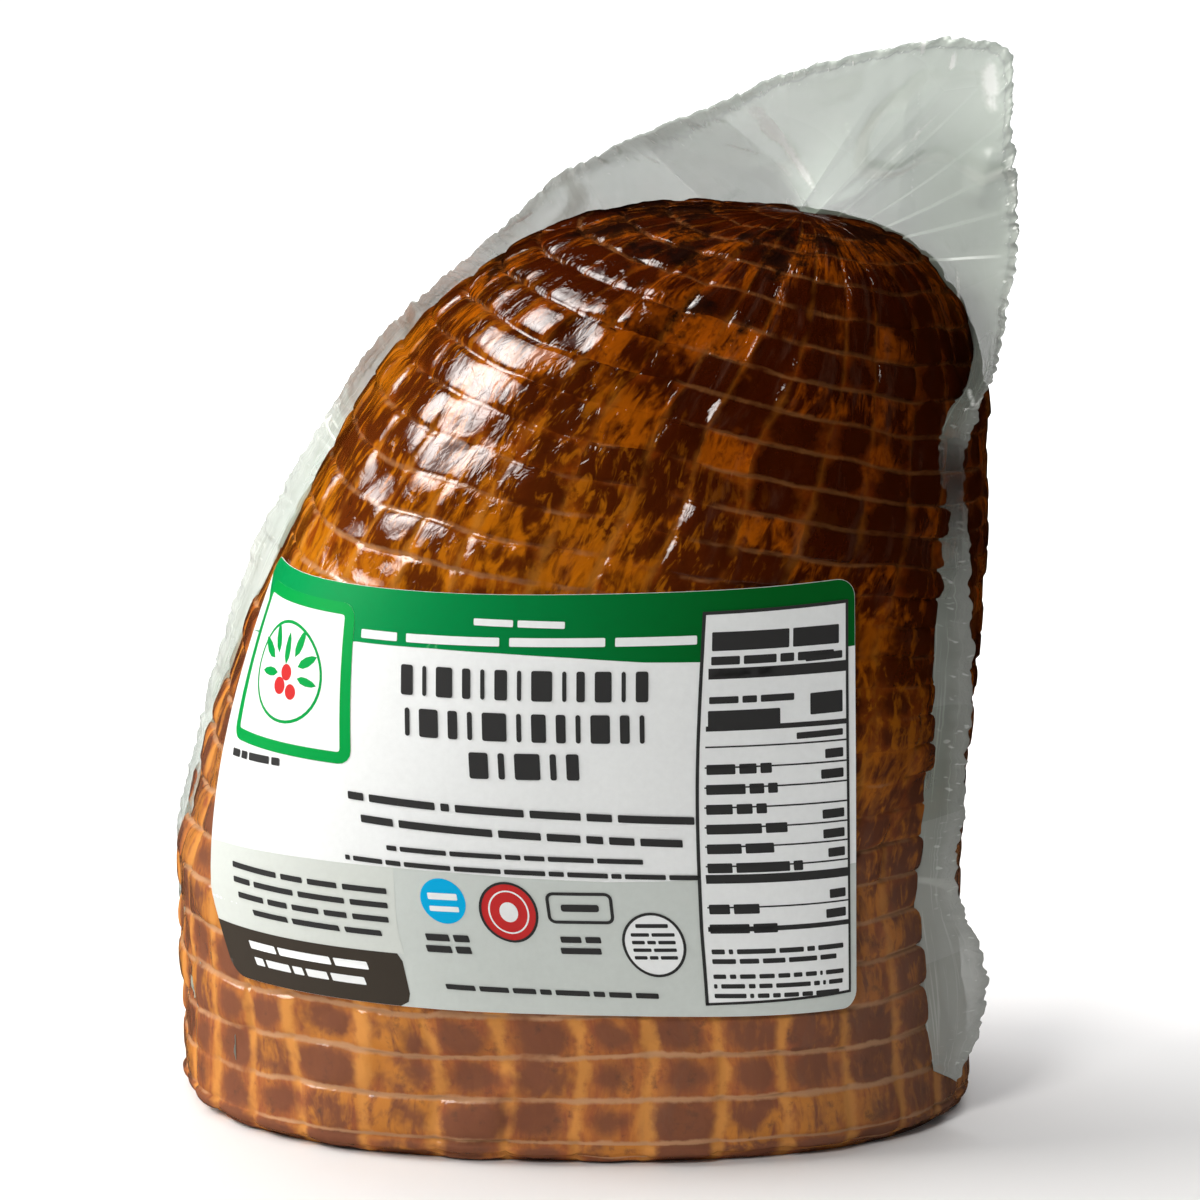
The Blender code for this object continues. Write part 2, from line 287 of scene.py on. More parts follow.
class Value:
    """One socket of a shader. A sum on values adds its Math node."""

    def __init__(self, shader, socket):
        self.shader = shader
        self.socket = socket

    def maths(self, operation, *others):
        sockets = dict(enumerate((self, *others)))
        return self.shader.add("ShaderNodeMath", {"operation": operation}, sockets)

    def __add__(self, other):
        return self.maths("ADD", other)

    def __sub__(self, other):
        return self.maths("SUBTRACT", other)

    def __rsub__(self, other):
        return self.shader.add("ShaderNodeMath", {"operation": "SUBTRACT"}, {0: other, 1: self})

    def __mul__(self, other):
        return self.maths("MULTIPLY", other)

    def __abs__(self):
        return self.maths("ABSOLUTE")

    __radd__ = __add__
    __rmul__ = __mul__


class Shader:
    """A material that is being put together."""

    def __init__(self, name, **constants):
        self.material = bpy.data.materials.new(name)
        self.material.use_nodes = True
        self.tree = self.material.node_tree
        self.surface = self.tree.nodes["Principled BSDF"]
        for socket, value in constants.items():
            label = socket.replace("_", " ").title().replace("Ior", "IOR")
            self.surface.inputs[label].default_value = value

    def add(self, kind, settings=None, sockets=None, out=0):
        """A node of any kind: its settings first, then the values or links of its sockets."""
        node = self.tree.nodes.new(kind)
        for name, setting in (settings or {}).items():
            if name == "stops":
                ramp = node.color_ramp.elements
                while len(ramp) < len(setting):
                    ramp.new(0.5)
                for stop, (place, colour) in zip(ramp, setting):
                    stop.position, stop.color = place, (*colour, 1)
            else:
                setattr(node, name, setting)
        for name, value in (sockets or {}).items():
            self.feed(node.inputs[name], value)
        return Value(self, node.outputs[out])

    def feed(self, socket, value):
        if isinstance(value, Value):
            self.tree.links.new(value.socket, socket)
        elif isinstance(value, (int, float)):
            socket.default_value = value
        else:
            value = tuple(value)
            socket.default_value = (*value, 1) if socket.type == "RGBA" else value

    def mix(self, factor, first, second):
        return self.add("ShaderNodeMix", {"data_type": "RGBA"}, {0: factor, 6: first, 7: second}, 2)

    def paint(self, colour, *coats):
        """A colour under coats of others, each given as how much it covers and its colour."""
        for cover, coat in coats:
            colour = self.mix(cover, colour, coat)
        return colour

    def vector(self, operation, *vectors):
        return self.add("ShaderNodeVectorMath", {"operation": operation}, dict(enumerate(vectors)))

    def place(self):
        return self.add("ShaderNodeTexCoord", out="Object")

    def map(self, name):
        return self.add("ShaderNodeUVMap", {"uv_map": name})

    def parts(self, vector):
        """The x, y and z of a vector."""
        split = self.add("ShaderNodeSeparateXYZ", None, {0: vector}).socket.node
        return [Value(self, socket) for socket in split.outputs]

    def join(self, x, y, z=0.0):
        return self.add("ShaderNodeCombineXYZ", None, {0: x, 1: y, 2: z})

    def noise(self, vector, scale, detail=2.0, roughness=0.5, distortion=0.0):
        """Noise about a half, seldom under a quarter or over three quarters."""
        sockets = {
            "Vector": vector, "Scale": scale, "Detail": detail, "Roughness": roughness,
            "Distortion": distortion}
        return self.add("ShaderNodeTexNoise", None, sockets)

    def chance(self, vector):
        """A random value between 0 and 1 for each vector."""
        return self.add("ShaderNodeTexWhiteNoise", {"noise_dimensions": "3D"}, {"Vector": vector})

    def ease(self, value, low, high):
        """0 below low, 1 above high and a smooth rise between them."""
        return self.add(
            "ShaderNodeMapRange", {"interpolation_type": "SMOOTHSTEP"}, {0: value, 1: low, 2: high})

    def bump(self, height, depth, strength=1.0):
        """Tips the surface by a height between 0 and 1, depth being its size in metres."""
        self.set("Normal", self.add(
            "ShaderNodeBump", None, {"Strength": strength, "Distance": depth, "Height": height}))

    def set(self, name, value):
        self.feed(self.surface.inputs[name], value)


# Colours of the meat. HIGH ones are for near the knot, and AMBER has one for low down and one for there.
FLESH_RED, FLESH_AMBER = (0.30, 0.058, 0.004), (0.52, 0.155, 0.010)
FLESH_HIGH = (0.110, 0.0150, 0.0010)
CELL_HIGH = (0.030, 0.0036, 0.0005)
DRIP = (0.52, 0.155, 0.005)
AMBER = (0.60, 0.205, 0.006), (0.36, 0.074, 0.0015)
SPECK = (0.048, 0.008, 0.0015)
CORD_HIGH = (0.30, 0.095, 0.010)
# Painted sheen: greyish light mirrored by the film's wrinkles over the meat
PAINTED_SHEEN = (0.125, 0.062, 0.042)
# Pale ring line near the knot, partly a painted reflection
RING_LINE_AND_SHEEN_HIGH = (0.27, 0.110, 0.034)
# Painted shade: near black red brown laid over the ham's right side, which faces away from the key light
PAINTED_SHADE_RIGHT = (0.016, 0.0032, 0.0007)
FOOT_PALE = (0.66, 0.50, 0.40)
AMBER_SEED = (3.3, 8.1, 5.7)

# Metres between which the meat changes
MEAT_DARKENS = (0.040, 0.192)
MEAT_FOOT = (0.040, 0.120)
# The painted shade comes in over these metres towards the ham's right side
MEAT_PAINTED_SHADE_RIGHT = (0.030, 0.080)
MEAT_WRINKLES = (0.05, 0.14)
MEAT_WET = (0.05, 0.12)


def smoked_meat(look):
    """Meat under the tight film: golden at the cords, brown in the cells, dark towards the top."""
    shader = Shader("smoked_meat", coat_roughness=0.03, coat_ior=1.5, specular_ior_level=0.50)
    spot = shader.place()
    column, ring, _ = shader.parts(shader.map("net"))
    across, _, height = shader.parts(spot)
    broad = shader.noise(spot, 16, 3)
    patch = shader.noise(spot, 62, 4, 0.6)
    waver = shader.noise(spot, 120, 3, 0.6)
    grain = shader.noise(spot, 330, 4, 0.7)
    streak = shader.noise(shader.join(column * 6, ring * 1.3, 2.0), 1.0, 3, 0.6, 0.5)
    patchy, wavy, grainy = patch - 0.5, waver - 0.5, grain - 0.5

    # Place in the net, whose lines waver
    column = column + patchy * 0.30 + grainy * 0.06
    ring = ring + wavy * 0.20
    from_cord = abs((column + 0.5).maths("FRACT") - 0.5)
    from_ring = abs((ring + 0.5).maths("FRACT") - 0.5)
    out_x, out_y = 1 - from_cord * 2, 1 - from_ring * 2
    cell = shader.join(column.maths("FLOOR").maths("WRAP", COLUMNS, 0), ring.maths("FLOOR"), 0.5)
    chance = shader.chance(cell)
    other = shader.chance(shader.vector("ADD", cell, AMBER_SEED))

    # Zones of the ham: dark towards the knot, half dark between, pale at the foot
    shade = shader.ease(height + across * 0.75 + (broad - 0.5) * 0.07, *MEAT_DARKENS)
    bell = shade * (1 - shade) * 4
    foot = 1 - shader.ease(height + across * 0.2, *MEAT_FOOT)

    # Brown core of each cell, golden line of each cord, and the pale line along each ring, where the film
    # bridges the groove, partly a painted reflection
    off = (out_x * out_x * 1.1 + out_y * out_y * 0.8).maths("SQRT")
    blotch = patchy * 1.9 + wavy * 1.5 + grainy * 0.8 + (chance - 0.5) * 0.8
    off = off + blotch * (1 - foot * 0.45)
    core = 1 - shader.ease(off - shade * 0.50 - foot * 0.16, 0.32, 0.98)
    cord = 1 - shader.ease(from_cord + wavy * 0.30 + grainy * 0.12 + shade * 0.05, 0.01, 0.15)
    cord = cord * (1 - shade * 0.5) * shader.ease(patch + broad + out_y * 0.15 + foot * 0.16, 0.84, 1.16)
    ring_line_and_sheen = 1 - shader.ease(from_ring + grainy * 0.09 + wavy * 0.07, 0.02, 0.10)
    ring_line_and_sheen = ring_line_and_sheen * shader.ease(waver * 0.6 + broad + foot * 0.16, 0.70, 0.92)

    # Streaks and specks, and a thin painted sheen between the net's lines: the film's wrinkles mirroring
    # light, stronger to the right
    streaky = streak + patchy * 0.5
    drip = shader.ease(streaky, 0.50, 0.66) * bell
    amber = shader.ease(other + patchy * 1.2 + wavy * 0.6 + bell * 0.26, 0.64, 0.92)
    amber = amber * shader.ease(streak + patch, 0.84, 1.16)
    speck = shader.ease(grain * 0.7 + waver * 0.5, 0.65, 0.80)
    painted_sheen_mask = shader.noise(shader.join(column * 2.6, ring * 0.45, 7.0), 1.0, 4, 0.6)
    painted_sheen_mask = shader.ease(painted_sheen_mask, 0.52, 0.70) * shader.ease(broad + across * 3.0, 0.44, 0.66)
    # Painted shade on the ham's right side, away from the key light
    painted_shade_right = shader.ease(across + patchy * 0.02, *MEAT_PAINTED_SHADE_RIGHT)
    crust = shader.ease(height * 9 + patchy + grainy * 0.5, 1.70, 1.88)

    flesh = shader.mix(shader.ease(streaky, 0.30, 0.72), FLESH_RED, FLESH_AMBER)
    shader.set("Base Color", shader.paint(
        flesh,
        (shade * 0.86, FLESH_HIGH),
        (core * 0.92, shader.mix(shade, look.smoked, CELL_HIGH)),
        (drip * 0.80, DRIP),
        (amber * 0.85, shader.mix(shade, *AMBER)),
        (speck * 0.6, SPECK),
        (cord * 0.9, shader.mix(shade, look.golden, CORD_HIGH)),
        # painted sheen of the film's wrinkles
        (painted_sheen_mask * 0.26, PAINTED_SHEEN),
        # pale line of each ring, partly a painted reflection
        (ring_line_and_sheen * (0.85 - shade * 0.30), shader.mix(shade, look.ring_line_and_sheen, RING_LINE_AND_SHEEN_HIGH)),
        # painted shade on the right side
        (painted_shade_right * 0.52, PAINTED_SHADE_RIGHT),
        (foot * 0.11, FOOT_PALE),
        (crust * 0.92, look.char)))
    shader.set("Roughness", 0.045 + shader.ease(grain, 0.50, 0.75) * 0.06)
    wet = shader.ease(patch - across * 5 + height * 0.8, 0.40, 0.80) * shader.ease(height, *MEAT_WET)
    shader.set("Coat Weight", wet * 0.55)

    wrinkle = shader.noise(shader.join(column * 5, ring * 2.4), 1.0, 2, 0.5, 0.6)
    lump = shader.noise(spot, 105, 1, 0.5)
    rough = shader.ease(height, *MEAT_WRINKLES) * 0.5 + 0.5
    shader.bump(wrinkle * rough * 0.38 + lump * 1.05 + grain * 0.02, 1.3 * MM, 0.8)
    return shader.material


# Colours of the film, over its tint
PANE = (0.47, 0.53, 0.48)
SEAL = (0.62, 0.66, 0.63)
# Painted highlight along the creases
PAINTED_CREASE_HIGHLIGHT = (0.80, 0.83, 0.78)
# Painted shade on the film right of the ham, away from the key light: darker low down, lighter again at the
# foot
FILM_PAINTED_SHADE_RIGHT = (0.20, 0.215, 0.195)
FILM_PAINTED_SHADE_RIGHT_LOW = (0.13, 0.125, 0.115)
FILM_PAINTED_SHADE_RIGHT_FOOT = (0.36, 0.37, 0.35)
# Painted light: the top of the flap made paler, standing in for light through and off the film
FILM_PAINTED_LIGHT_TOP = (0.66, 0.74, 0.66)
SEAL_LINE = (0.20, 0.23, 0.21)
# Painted highlight of the glints and of the sparkles at the seal's beads
GLINT = (0.94, 0.97, 0.94)


def clear_film(look):
    """Cloudy grey green shrink film in flat panes, with thin creases, a fuller seal and painted light:
    highlights, shade at the ham's right, a paler top and a faint glow.
    """
    # Its emission is a painted glow
    shader = Shader("clear_film", specular_ior_level=0.6, emission_strength=0.15)
    spot = shader.place()
    along, out, _ = shader.parts(shader.map("film"))
    from_ham, from_edge, _ = shader.parts(shader.map("reach"))
    glint, _, _ = shader.parts(shader.map("glint"))
    across, _, height = shader.parts(spot)
    cloud = shader.noise(spot, 20, 2)
    pane = shader.add("ShaderNodeTexVoronoi", {"feature": "F1"}, {"Vector": spot, "Scale": 26}, 1)
    pane, _, _ = shader.parts(pane)
    folds = shader.noise(spot, 15, 2, 0.4, 0.6)
    crinkle = shader.noise(shader.join(along * 45, out * 4), 1.0, 3, 0.6)
    wave = shader.noise(shader.join(along * 30, 0.0, 5.0), 1.0, 2, 0.6)
    bead = shader.noise(shader.join(along * 85, from_edge * 0.55, 3.0), 1.0, 1, 0.5)
    ragged = shader.noise(spot, 190, 3, 0.6)
    thread = shader.noise(shader.join(along * 3, out * 14, 9.0), 1.0, 3, 0.6)

    # Zones, by height and place across in metres and by the film's width in millimetres
    low = 1 - shader.ease(height, 0.155, 0.200)
    # top: where the flap is painted paler by light
    top = shader.ease(height, 0.205, 0.235)
    # right: where shade is painted on the film right of the ham
    right = shader.ease(across, 0.050, 0.085) * (1 - top * 0.8)
    foot = 1 - shader.ease(height, 0.050, 0.078)
    flap = shader.ease(from_ham + from_edge, 9, 22) * (1 - low)
    wide = shader.ease(from_ham + from_edge, 1.5, 5.0)

    # Creases painted with highlights, the seal with its line, beads painted as sparkling highlights, and
    # painted glints
    crease_highlight = (1 - shader.ease(abs(folds - 0.5), 0.003, 0.012)) * shader.ease(cloud, 0.40, 0.60)
    seal = 1 - shader.ease(from_edge, 0.8, 3.2)
    line = 1 - shader.ease(abs(from_edge - 2.6 - (wave - 0.5) * 4), 0.15, 0.55)
    bead = shader.ease(bead, 0.64, 0.74) * (1 - shader.ease(from_edge, 2.0, 5.5)) * (flap * 0.75 + 0.25)
    glint = shader.ease(glint + (ragged - 0.5) * glint * 2.2, 0.22, 0.85) * 0.9
    # Painted highlights: glints and sparkles at the beads
    bright = glint.maths("MAXIMUM", bead * 0.85)

    colour = shader.paint(
        shader.mix(shader.ease(cloud + pane * 0.25, 0.40, 0.85), look.tint, PANE),
        (seal * 0.6, SEAL),
        # painted highlight on the creases
        (crease_highlight * 0.7, PAINTED_CREASE_HIGHLIGHT),
        # painted shade right of the ham
        (right * 0.45, FILM_PAINTED_SHADE_RIGHT),
        (right * low * 0.65, FILM_PAINTED_SHADE_RIGHT_LOW),
        (foot * right * 0.6, FILM_PAINTED_SHADE_RIGHT_FOOT),
        # painted light on the flap's top
        (top * 0.55, FILM_PAINTED_LIGHT_TOP),
        (line * flap * 0.45, SEAL_LINE),
        # painted glints and sparkles
        (bright, GLINT))
    shader.set("Base Color", colour)
    # Painted glow: the film's colour emitted faintly, standing in for light passing through it
    shader.set("Emission Color", colour)
    cover = look.cover + (cloud - 0.5) * 0.2 + (pane - 0.5) * 0.10 + crease_highlight * 0.25 + seal * 0.16
    cover = cover + right * 0.16 + bright * 0.4 + shader.ease(thread, 0.56, 0.66) * low * 0.25
    shader.set("Alpha", (cover * wide).maths("MINIMUM", 0.92))
    shader.set("Roughness", 0.16 + (cloud - 0.5) * 0.16)
    shader.bump(crinkle * seal * 1.1 + folds * 0.9 + cloud * 0.5, 1.2 * MM, 0.6)
    return shader.material


def printed(name, colour, right=None):
    """Print or paper under the film's gloss, deeper towards the right where a second colour is given."""
    shader = Shader(name, coat_weight=0.22, coat_roughness=0.10, specular_ior_level=0.1)
    spot = shader.place()
    waves = shader.noise(spot, 60, 2)
    fine = shader.noise(spot, 700, 2, 0.6)
    across, _, _ = shader.parts(spot)
    if right:
        colour = shader.mix(shader.ease(across, -0.07, 0.045), colour, right)
    shader.set("Base Color", shader.mix(fine * 0.08, colour, (0.02, 0.02, 0.02)))
    shader.set("Roughness", 0.35 + (fine - 0.5) * 0.12)
    shader.bump(waves * 0.8 + fine * 0.03, 0.8 * MM, 0.35)
    return shader.material


# ======== The ham's form ========


def side_outline(wall, top, shoulder, fullness, waist, slope):
    """Points (across, height) up one side, from the end of the foot's rounding to the knot."""
    points = []
    for step in range(OUTLINE_STEPS):
        height = FOOT_ROUND + (shoulder - FOOT_ROUND) * step / OUTLINE_STEPS
        points.append((wall, height))
    for step in range(OUTLINE_STEPS + 1):
        turn = step / OUTLINE_STEPS * math.pi / 2
        across = top + (wall - top) * max(math.cos(turn), 0) ** (2 / fullness[1])
        height = shoulder + (KNOT.z - shoulder) * math.sin(turn) ** (2 / fullness[0])
        points.append((across, height - slope * (across - top) * math.sin(turn) ** 4))
    amount, middle, reach = waist
    inward = math.copysign(amount, top - wall)
    return [(a + inward * math.exp(-((h - middle) / reach) ** 2), h) for a, h in points]


class Outline:
    """A side of the ham that can be read at any share of its length."""

    def __init__(self, *shape):
        self.points = side_outline(*shape)
        self.lengths = [0.0]
        for first, after in zip(self.points, self.points[1:]):
            self.lengths.append(self.lengths[-1] + math.dist(first, after))

    def at(self, share):
        wanted = min(max(share, 0), 1) * self.lengths[-1]
        high = min(bisect_right(self.lengths, wanted), len(self.lengths) - 1)
        low = high - 1
        span = self.lengths[high] - self.lengths[low]
        part = (wanted - self.lengths[low]) / span if span else 0
        first, after = self.points[low], self.points[high]
        return first[0] + (after[0] - first[0]) * part, first[1] + (after[1] - first[1]) * part


LEFT = Outline(HAM_LEFT, KNOT.x, LEFT_SHOULDER, LEFT_FULLNESS, LEFT_WAIST, TOP_SLOPE)
RIGHT = Outline(HAM_RIGHT, KNOT.x, RIGHT_SHOULDER, RIGHT_FULLNESS, RIGHT_WAIST, TOP_SLOPE)
DEPTH = Outline(HAM_DEPTH / 2, 0, DEPTH_SHOULDER, DEPTH_FULLNESS, DEPTH_WAIST, 0)


def section_at(share):
    """Centre, half width vector and half depth of the ham's section at a share of the way up."""
    left = LEFT.at(share)
    right = RIGHT.at(share + RING_LEAD * math.sin(math.tau * share))
    left_point = Vector((left[0], TURN * left[0], left[1]))
    right_point = Vector((right[0], TURN * right[0], right[1]))
    return (left_point + right_point) / 2, (right_point - left_point) / 2, DEPTH.at(share)[0]


def section(angle):
    """Point of a full rounded outline of half width and half depth 1."""
    across, back = math.cos(angle), math.sin(angle)
    size = (abs(across) ** SECTION_FULLNESS + abs(back) ** SECTION_FULLNESS) ** (-1 / SECTION_FULLNESS)
    return across * size, back * size


def calm_at(share, reach):
    """Factor that falls to 0 at the foot and at the knot."""
    return min(1, share / reach[0]) * min(1, (1 - share) / reach[1])


def ham_skin(angle, share):
    """Point of the ham's outer form above the foot, the net's grooves left out."""
    centre, half_width, depth = section_at(share)
    place = Vector((math.cos(angle), math.sin(angle), share * SWELL_CLIMB)) * SWELL_SCALE
    size = 1 + SWELL * calm_at(share, SWELL_CALM) * noise.noise(place)
    across, back = section(angle)
    return centre + half_width * across * size + Vector((0, depth * back * size, 0))


def foot_skin(angle, turn):
    """Point of the rounded foot: turn 0 is the rim of the flat end, 1 the foot's top."""
    centre, half_width, depth = section_at(0)
    inset = FOOT_ROUND * (1 - math.sin(turn * math.pi / 2))
    height = FOOT_ROUND * (1 - math.cos(turn * math.pi / 2))
    across, back = section(angle)
    x = centre.x + (half_width.x - inset) * across
    return Vector((x, TURN * x + (depth - inset) * back, height))


def ham_vertex(angle, row):
    """Place of a vertex on the ham's outer form, and the share of the way up it is at."""
    if row <= FLAT_ROWS:
        centre = section_at(0)[0]
        return Vector((centre.x, centre.y, 0)).lerp(foot_skin(angle, 0), row / FLAT_ROWS)
    if row <= FLAT_ROWS + FOOT_ROWS:
        return foot_skin(angle, (row - FLAT_ROWS) / FOOT_ROWS)
    share = ring_phase(row) / SPACINGS
    place = Vector((math.cos(angle), math.sin(angle), share * WANDER_CLIMB)) * WANDER_SCALE
    calm = calm_at(share, WANDER_CALM)
    share += RING_WANDER * calm * noise.noise(place) / SPACINGS
    angle += CORD_WANDER * calm * noise.noise(place + CORD_SEED) * math.tau / COLUMNS
    return ham_skin(angle, share)


def ring_phase(row):
    """Where a row lies in the net, in ring spacings: whole numbers lie under its rings."""
    if row <= FLAT_ROWS:
        return -4 + 2 * row / FLAT_ROWS
    if row <= FLAT_ROWS + FOOT_ROWS:
        return -2 + 2 * (row - FLAT_ROWS) / FOOT_ROWS
    return drawn_together((row - FLAT_ROWS - FOOT_ROWS) / FINE_ROWS, ROW_DRAW)


def drawn_together(phase, draw):
    """Moves the lines of the mesh closer to the cords of the net, which lie at whole numbers."""
    return phase - draw * math.sin(math.tau * phase) / math.tau


def relief(look, column, ring, spot):
    """Height of the meat over its outer form: grooves under the net, plump cells, lumps and crust."""
    radius = section_at(ring / SPACINGS)[2]
    calm = min(1, radius / CALM_RADIUS)
    across = abs(2 * (column % 1) - 1)
    up = abs(2 * (ring % 1) - 1)
    cord = 0.7 + 1.0 * noise.noise(spot * 38 + CORD_SEED)
    tight = 0.85 + 0.6 * noise.noise(spot * 30)
    height = -look.ring_groove * tight * (0.68 * up**9 + 0.32 * up**2.5)
    height -= look.cord_groove * cord * (0.5 * across**7 + 0.5 * across**2.5)
    cell = Vector((math.floor(column) % COLUMNS + 0.5, math.floor(ring) + 0.5, 0.5))
    plump = (1 - across**4) * (1 - up**4)
    height += CELL_PLUMP * plump * (2 * noise.cell(cell) - 1)
    height += look.lumps * (noise.noise(spot * 75) + 0.45 * noise.noise(spot * 210))
    height = min(height, RELIEF_TOP)
    crust = min(1, max(0, (ring / SPACINGS - CRUST_STARTS) / CRUST_RISE))
    height += crust * CRUST_LUMPS * noise.noise(spot * 150 + CORD_SEED)
    height += crust * CRUST_GRAIN * abs(noise.noise(spot * 320))
    return height * calm


def shape_ham(look, shape):
    """A sphere of rows and columns drawn out to the ham, then quilted by the net."""
    bmesh.ops.create_uvsphere(shape, u_segments=HAM_SEGMENTS, v_segments=HAM_ROWS, radius=1)
    places = {}
    for vert in shape.verts:
        row = round((1 - math.acos(max(-1, min(1, vert.co.z))) / math.pi) * HAM_ROWS)
        angle = math.atan2(vert.co.y, vert.co.x)
        column = round(angle / math.tau * HAM_SEGMENTS) % HAM_SEGMENTS
        column = drawn_together(column / FINE_COLUMNS, COLUMN_DRAW)
        places[vert.index] = (column % COLUMNS, row)
        vert.co = ham_vertex(column / COLUMNS * math.tau, row)
    bmesh.ops.recalc_face_normals(shape, faces=shape.faces)
    shape.normal_update()
    heights = {}
    for vert in shape.verts:
        column, row = places[vert.index]
        if row > FLAT_ROWS + 1:
            heights[vert] = vert.normal * relief(look, column, ring_phase(row), vert.co)
    for vert, step in heights.items():
        vert.co += step
    for vert in shape.verts:
        vert.co.z = max(vert.co.z, 0)
    map_net(shape, places)


def unwrapped(columns):
    """Columns of one face's corners, those past the seam counted on."""
    if max(columns) - min(columns) > COLUMNS / 2:
        return [column + COLUMNS if column < COLUMNS / 2 else column for column in columns]
    return columns


def map_net(shape, places):
    """Maps every face to its place in the net, in columns and rings."""
    net = shape.loops.layers.uv.new("net")
    for face in shape.faces:
        columns = unwrapped([(places[loop.vert.index][0] - SEAM) % COLUMNS for loop in face.loops])
        rows = [places[loop.vert.index][1] for loop in face.loops]
        poles = [row in (0, HAM_ROWS) for row in rows]
        if any(poles):
            others = unwrapped([column for column, pole in zip(columns, poles) if not pole])
            middle = sum(others) / len(others)
            columns = [middle if pole else column for column, pole in zip(columns, poles)]
        for loop, column, row in zip(face.loops, columns, rows):
            loop[net].uv = (column, ring_phase(row))


def finished(name, shape, surface, slot, *nodes):
    """A piece from a bmesh, placed in its mesh, that rides on the ham and may stand for CAD nodes."""
    mesh = bpy.data.meshes.new(name)
    bmesh.ops.translate(shape, vec=MIDDLE, verts=shape.verts)
    for edge in shape.edges:
        edge.smooth = not edge.is_boundary
    shape.to_mesh(mesh)
    shape.free()
    mesh.materials.append(surface)
    mesh.shade_smooth()
    piece = bpy.data.objects.new(name, mesh)
    bpy.context.scene.collection.objects.link(piece)
    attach(piece, "root")
    if nodes:
        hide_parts(*nodes)
    return piece


class HAM_OT_meat(bpy.types.Operator):
    """Make the ham with its netted, smoked surface"""

    bl_idname = "glazed_ham.meat"
    bl_label = "Ham"

    def execute(self, context):
        look = context.scene.ham_meat
        shape = bmesh.new()
        shape_ham(look, shape)
        finished("netted_ham", shape, smoked_meat(look), "smoked_meat", "ham")
        return {"FINISHED"}


# ======== The label ========


def halved(low, high, below):
    """Highest value from low to high of which below is still true, found by halving."""
    for _ in range(BISECTIONS):
        middle = (low + high) / 2
        low, high = (middle, high) if below(middle) else (low, middle)
    return low


def share_at_height(angle, height):
    """Share of the way up at which the ham's skin reaches a height, at this angle."""
    return halved(0.0, 1.0, lambda share: ham_skin(angle, share).z < height)


def between(ends, up):
    """Value between a top and a bottom one, up running from 0 to 1."""
    return ends[1] + (ends[0] - ends[1]) * up


def label_right_angle(up):
    """Angle round the ham at which the label's straight right edge lies."""
    wanted, height = between(LABEL_RIGHT_X, up), between(LABEL_RIGHT_HEIGHT, up)
    return halved(
        -math.pi / 2, 0.0, lambda angle: ham_skin(angle, share_at_height(angle, height)).x < wanted)


class Wrap:
    """The ham's skin under the label, sampled so that a flat drawing can be laid on it."""

    def __init__(self):
        self.wide = round(LABEL_WIDTH / LABEL_CELL)
        self.high = round(LABEL_HEIGHT / LABEL_CELL)
        self.points = []
        for row in range(self.high + 1):
            up = row / self.high
            left = math.radians(between(LABEL_LEFT_ANGLE, up))
            right = label_right_angle(up)
            low = between(LABEL_LEFT_HEIGHT, up)
            top = between(LABEL_RIGHT_HEIGHT, up)
            line = []
            for step in range(self.wide + 1):
                across = step / self.wide
                angle = left + (right - left) * across
                line.append(ham_skin(angle, share_at_height(angle, low + (top - low) * across)))
            self.points.append(line)
        self.normals = [
            [self.slope(row, step) for step in range(self.wide + 1)] for row in range(self.high + 1)]

    def slope(self, row, step):
        near = self.points
        across = near[row][min(step + 1, self.wide)] - near[row][max(step - 1, 0)]
        up = near[min(row + 1, self.high)][step] - near[max(row - 1, 0)][step]
        return across.cross(up).normalized()

    def read(self, table, x, y):
        x = min(max(x / LABEL_WIDTH, 0), 1) * self.wide
        y = min(max(y / LABEL_HEIGHT, 0), 1) * self.high
        step, row = min(int(x), self.wide - 1), min(int(y), self.high - 1)
        x, y = x - step, y - row
        low = table[row][step].lerp(table[row][step + 1], x)
        return low.lerp(table[row + 1][step].lerp(table[row + 1][step + 1], x), y)

    def lay(self, shape, lift):
        """Moves a flat drawing in label millimetres on to the ham, lift metres above its skin."""
        for vert in shape.verts:
            x, y, z = vert.co
            normal = self.read(self.normals, x, y).normalized()
            vert.co = self.read(self.points, x, y) + normal * (lift + z * MM)


def round_corner(x, y):
    """Moves a point of the label's grid so that the label's corners are round."""
    centre_x = min(max(x, LABEL_CORNER), LABEL_WIDTH - LABEL_CORNER)
    centre_y = min(max(y, LABEL_CORNER), LABEL_HEIGHT - LABEL_CORNER)
    a, b = (x - centre_x) / LABEL_CORNER, (y - centre_y) / LABEL_CORNER
    return (
        centre_x + LABEL_CORNER * a * math.sqrt(1 - b * b / 2),
        centre_y + LABEL_CORNER * b * math.sqrt(1 - a * a / 2),
    )


@functools.cache
def skin_under_label():
    """The one wrap that the sheet and every ink are laid on."""
    return Wrap()


def thicken(piece, thickness):
    """Gives a sheet its thickness, inwards."""
    wall = piece.modifiers.new("thickness", "SOLIDIFY")
    wall.thickness = thickness
    wall.offset = -1


class HAM_OT_label(bpy.types.Operator):
    """Make the label's sheet, laid round the front of the ham"""

    bl_idname = "glazed_ham.label"
    bl_label = "Label"

    def execute(self, context):
        look = context.scene.ham_label
        shape = bmesh.new()
        bmesh.ops.create_grid(shape, x_segments=LABEL_WIDTH, y_segments=LABEL_HEIGHT, size=0.5)
        for vert in shape.verts:
            x, y = round_corner((vert.co.x + 0.5) * LABEL_WIDTH, (vert.co.y + 0.5) * LABEL_HEIGHT)
            vert.co = Vector((x, y, 0))
        skin_under_label().lay(shape, LABEL_LIFT)
        paper = printed("label_paper", look.paper)
        thicken(finished("label_sheet", shape, paper, "label_paper", "label"), LABEL_SHEET)
        return {"FINISHED"}


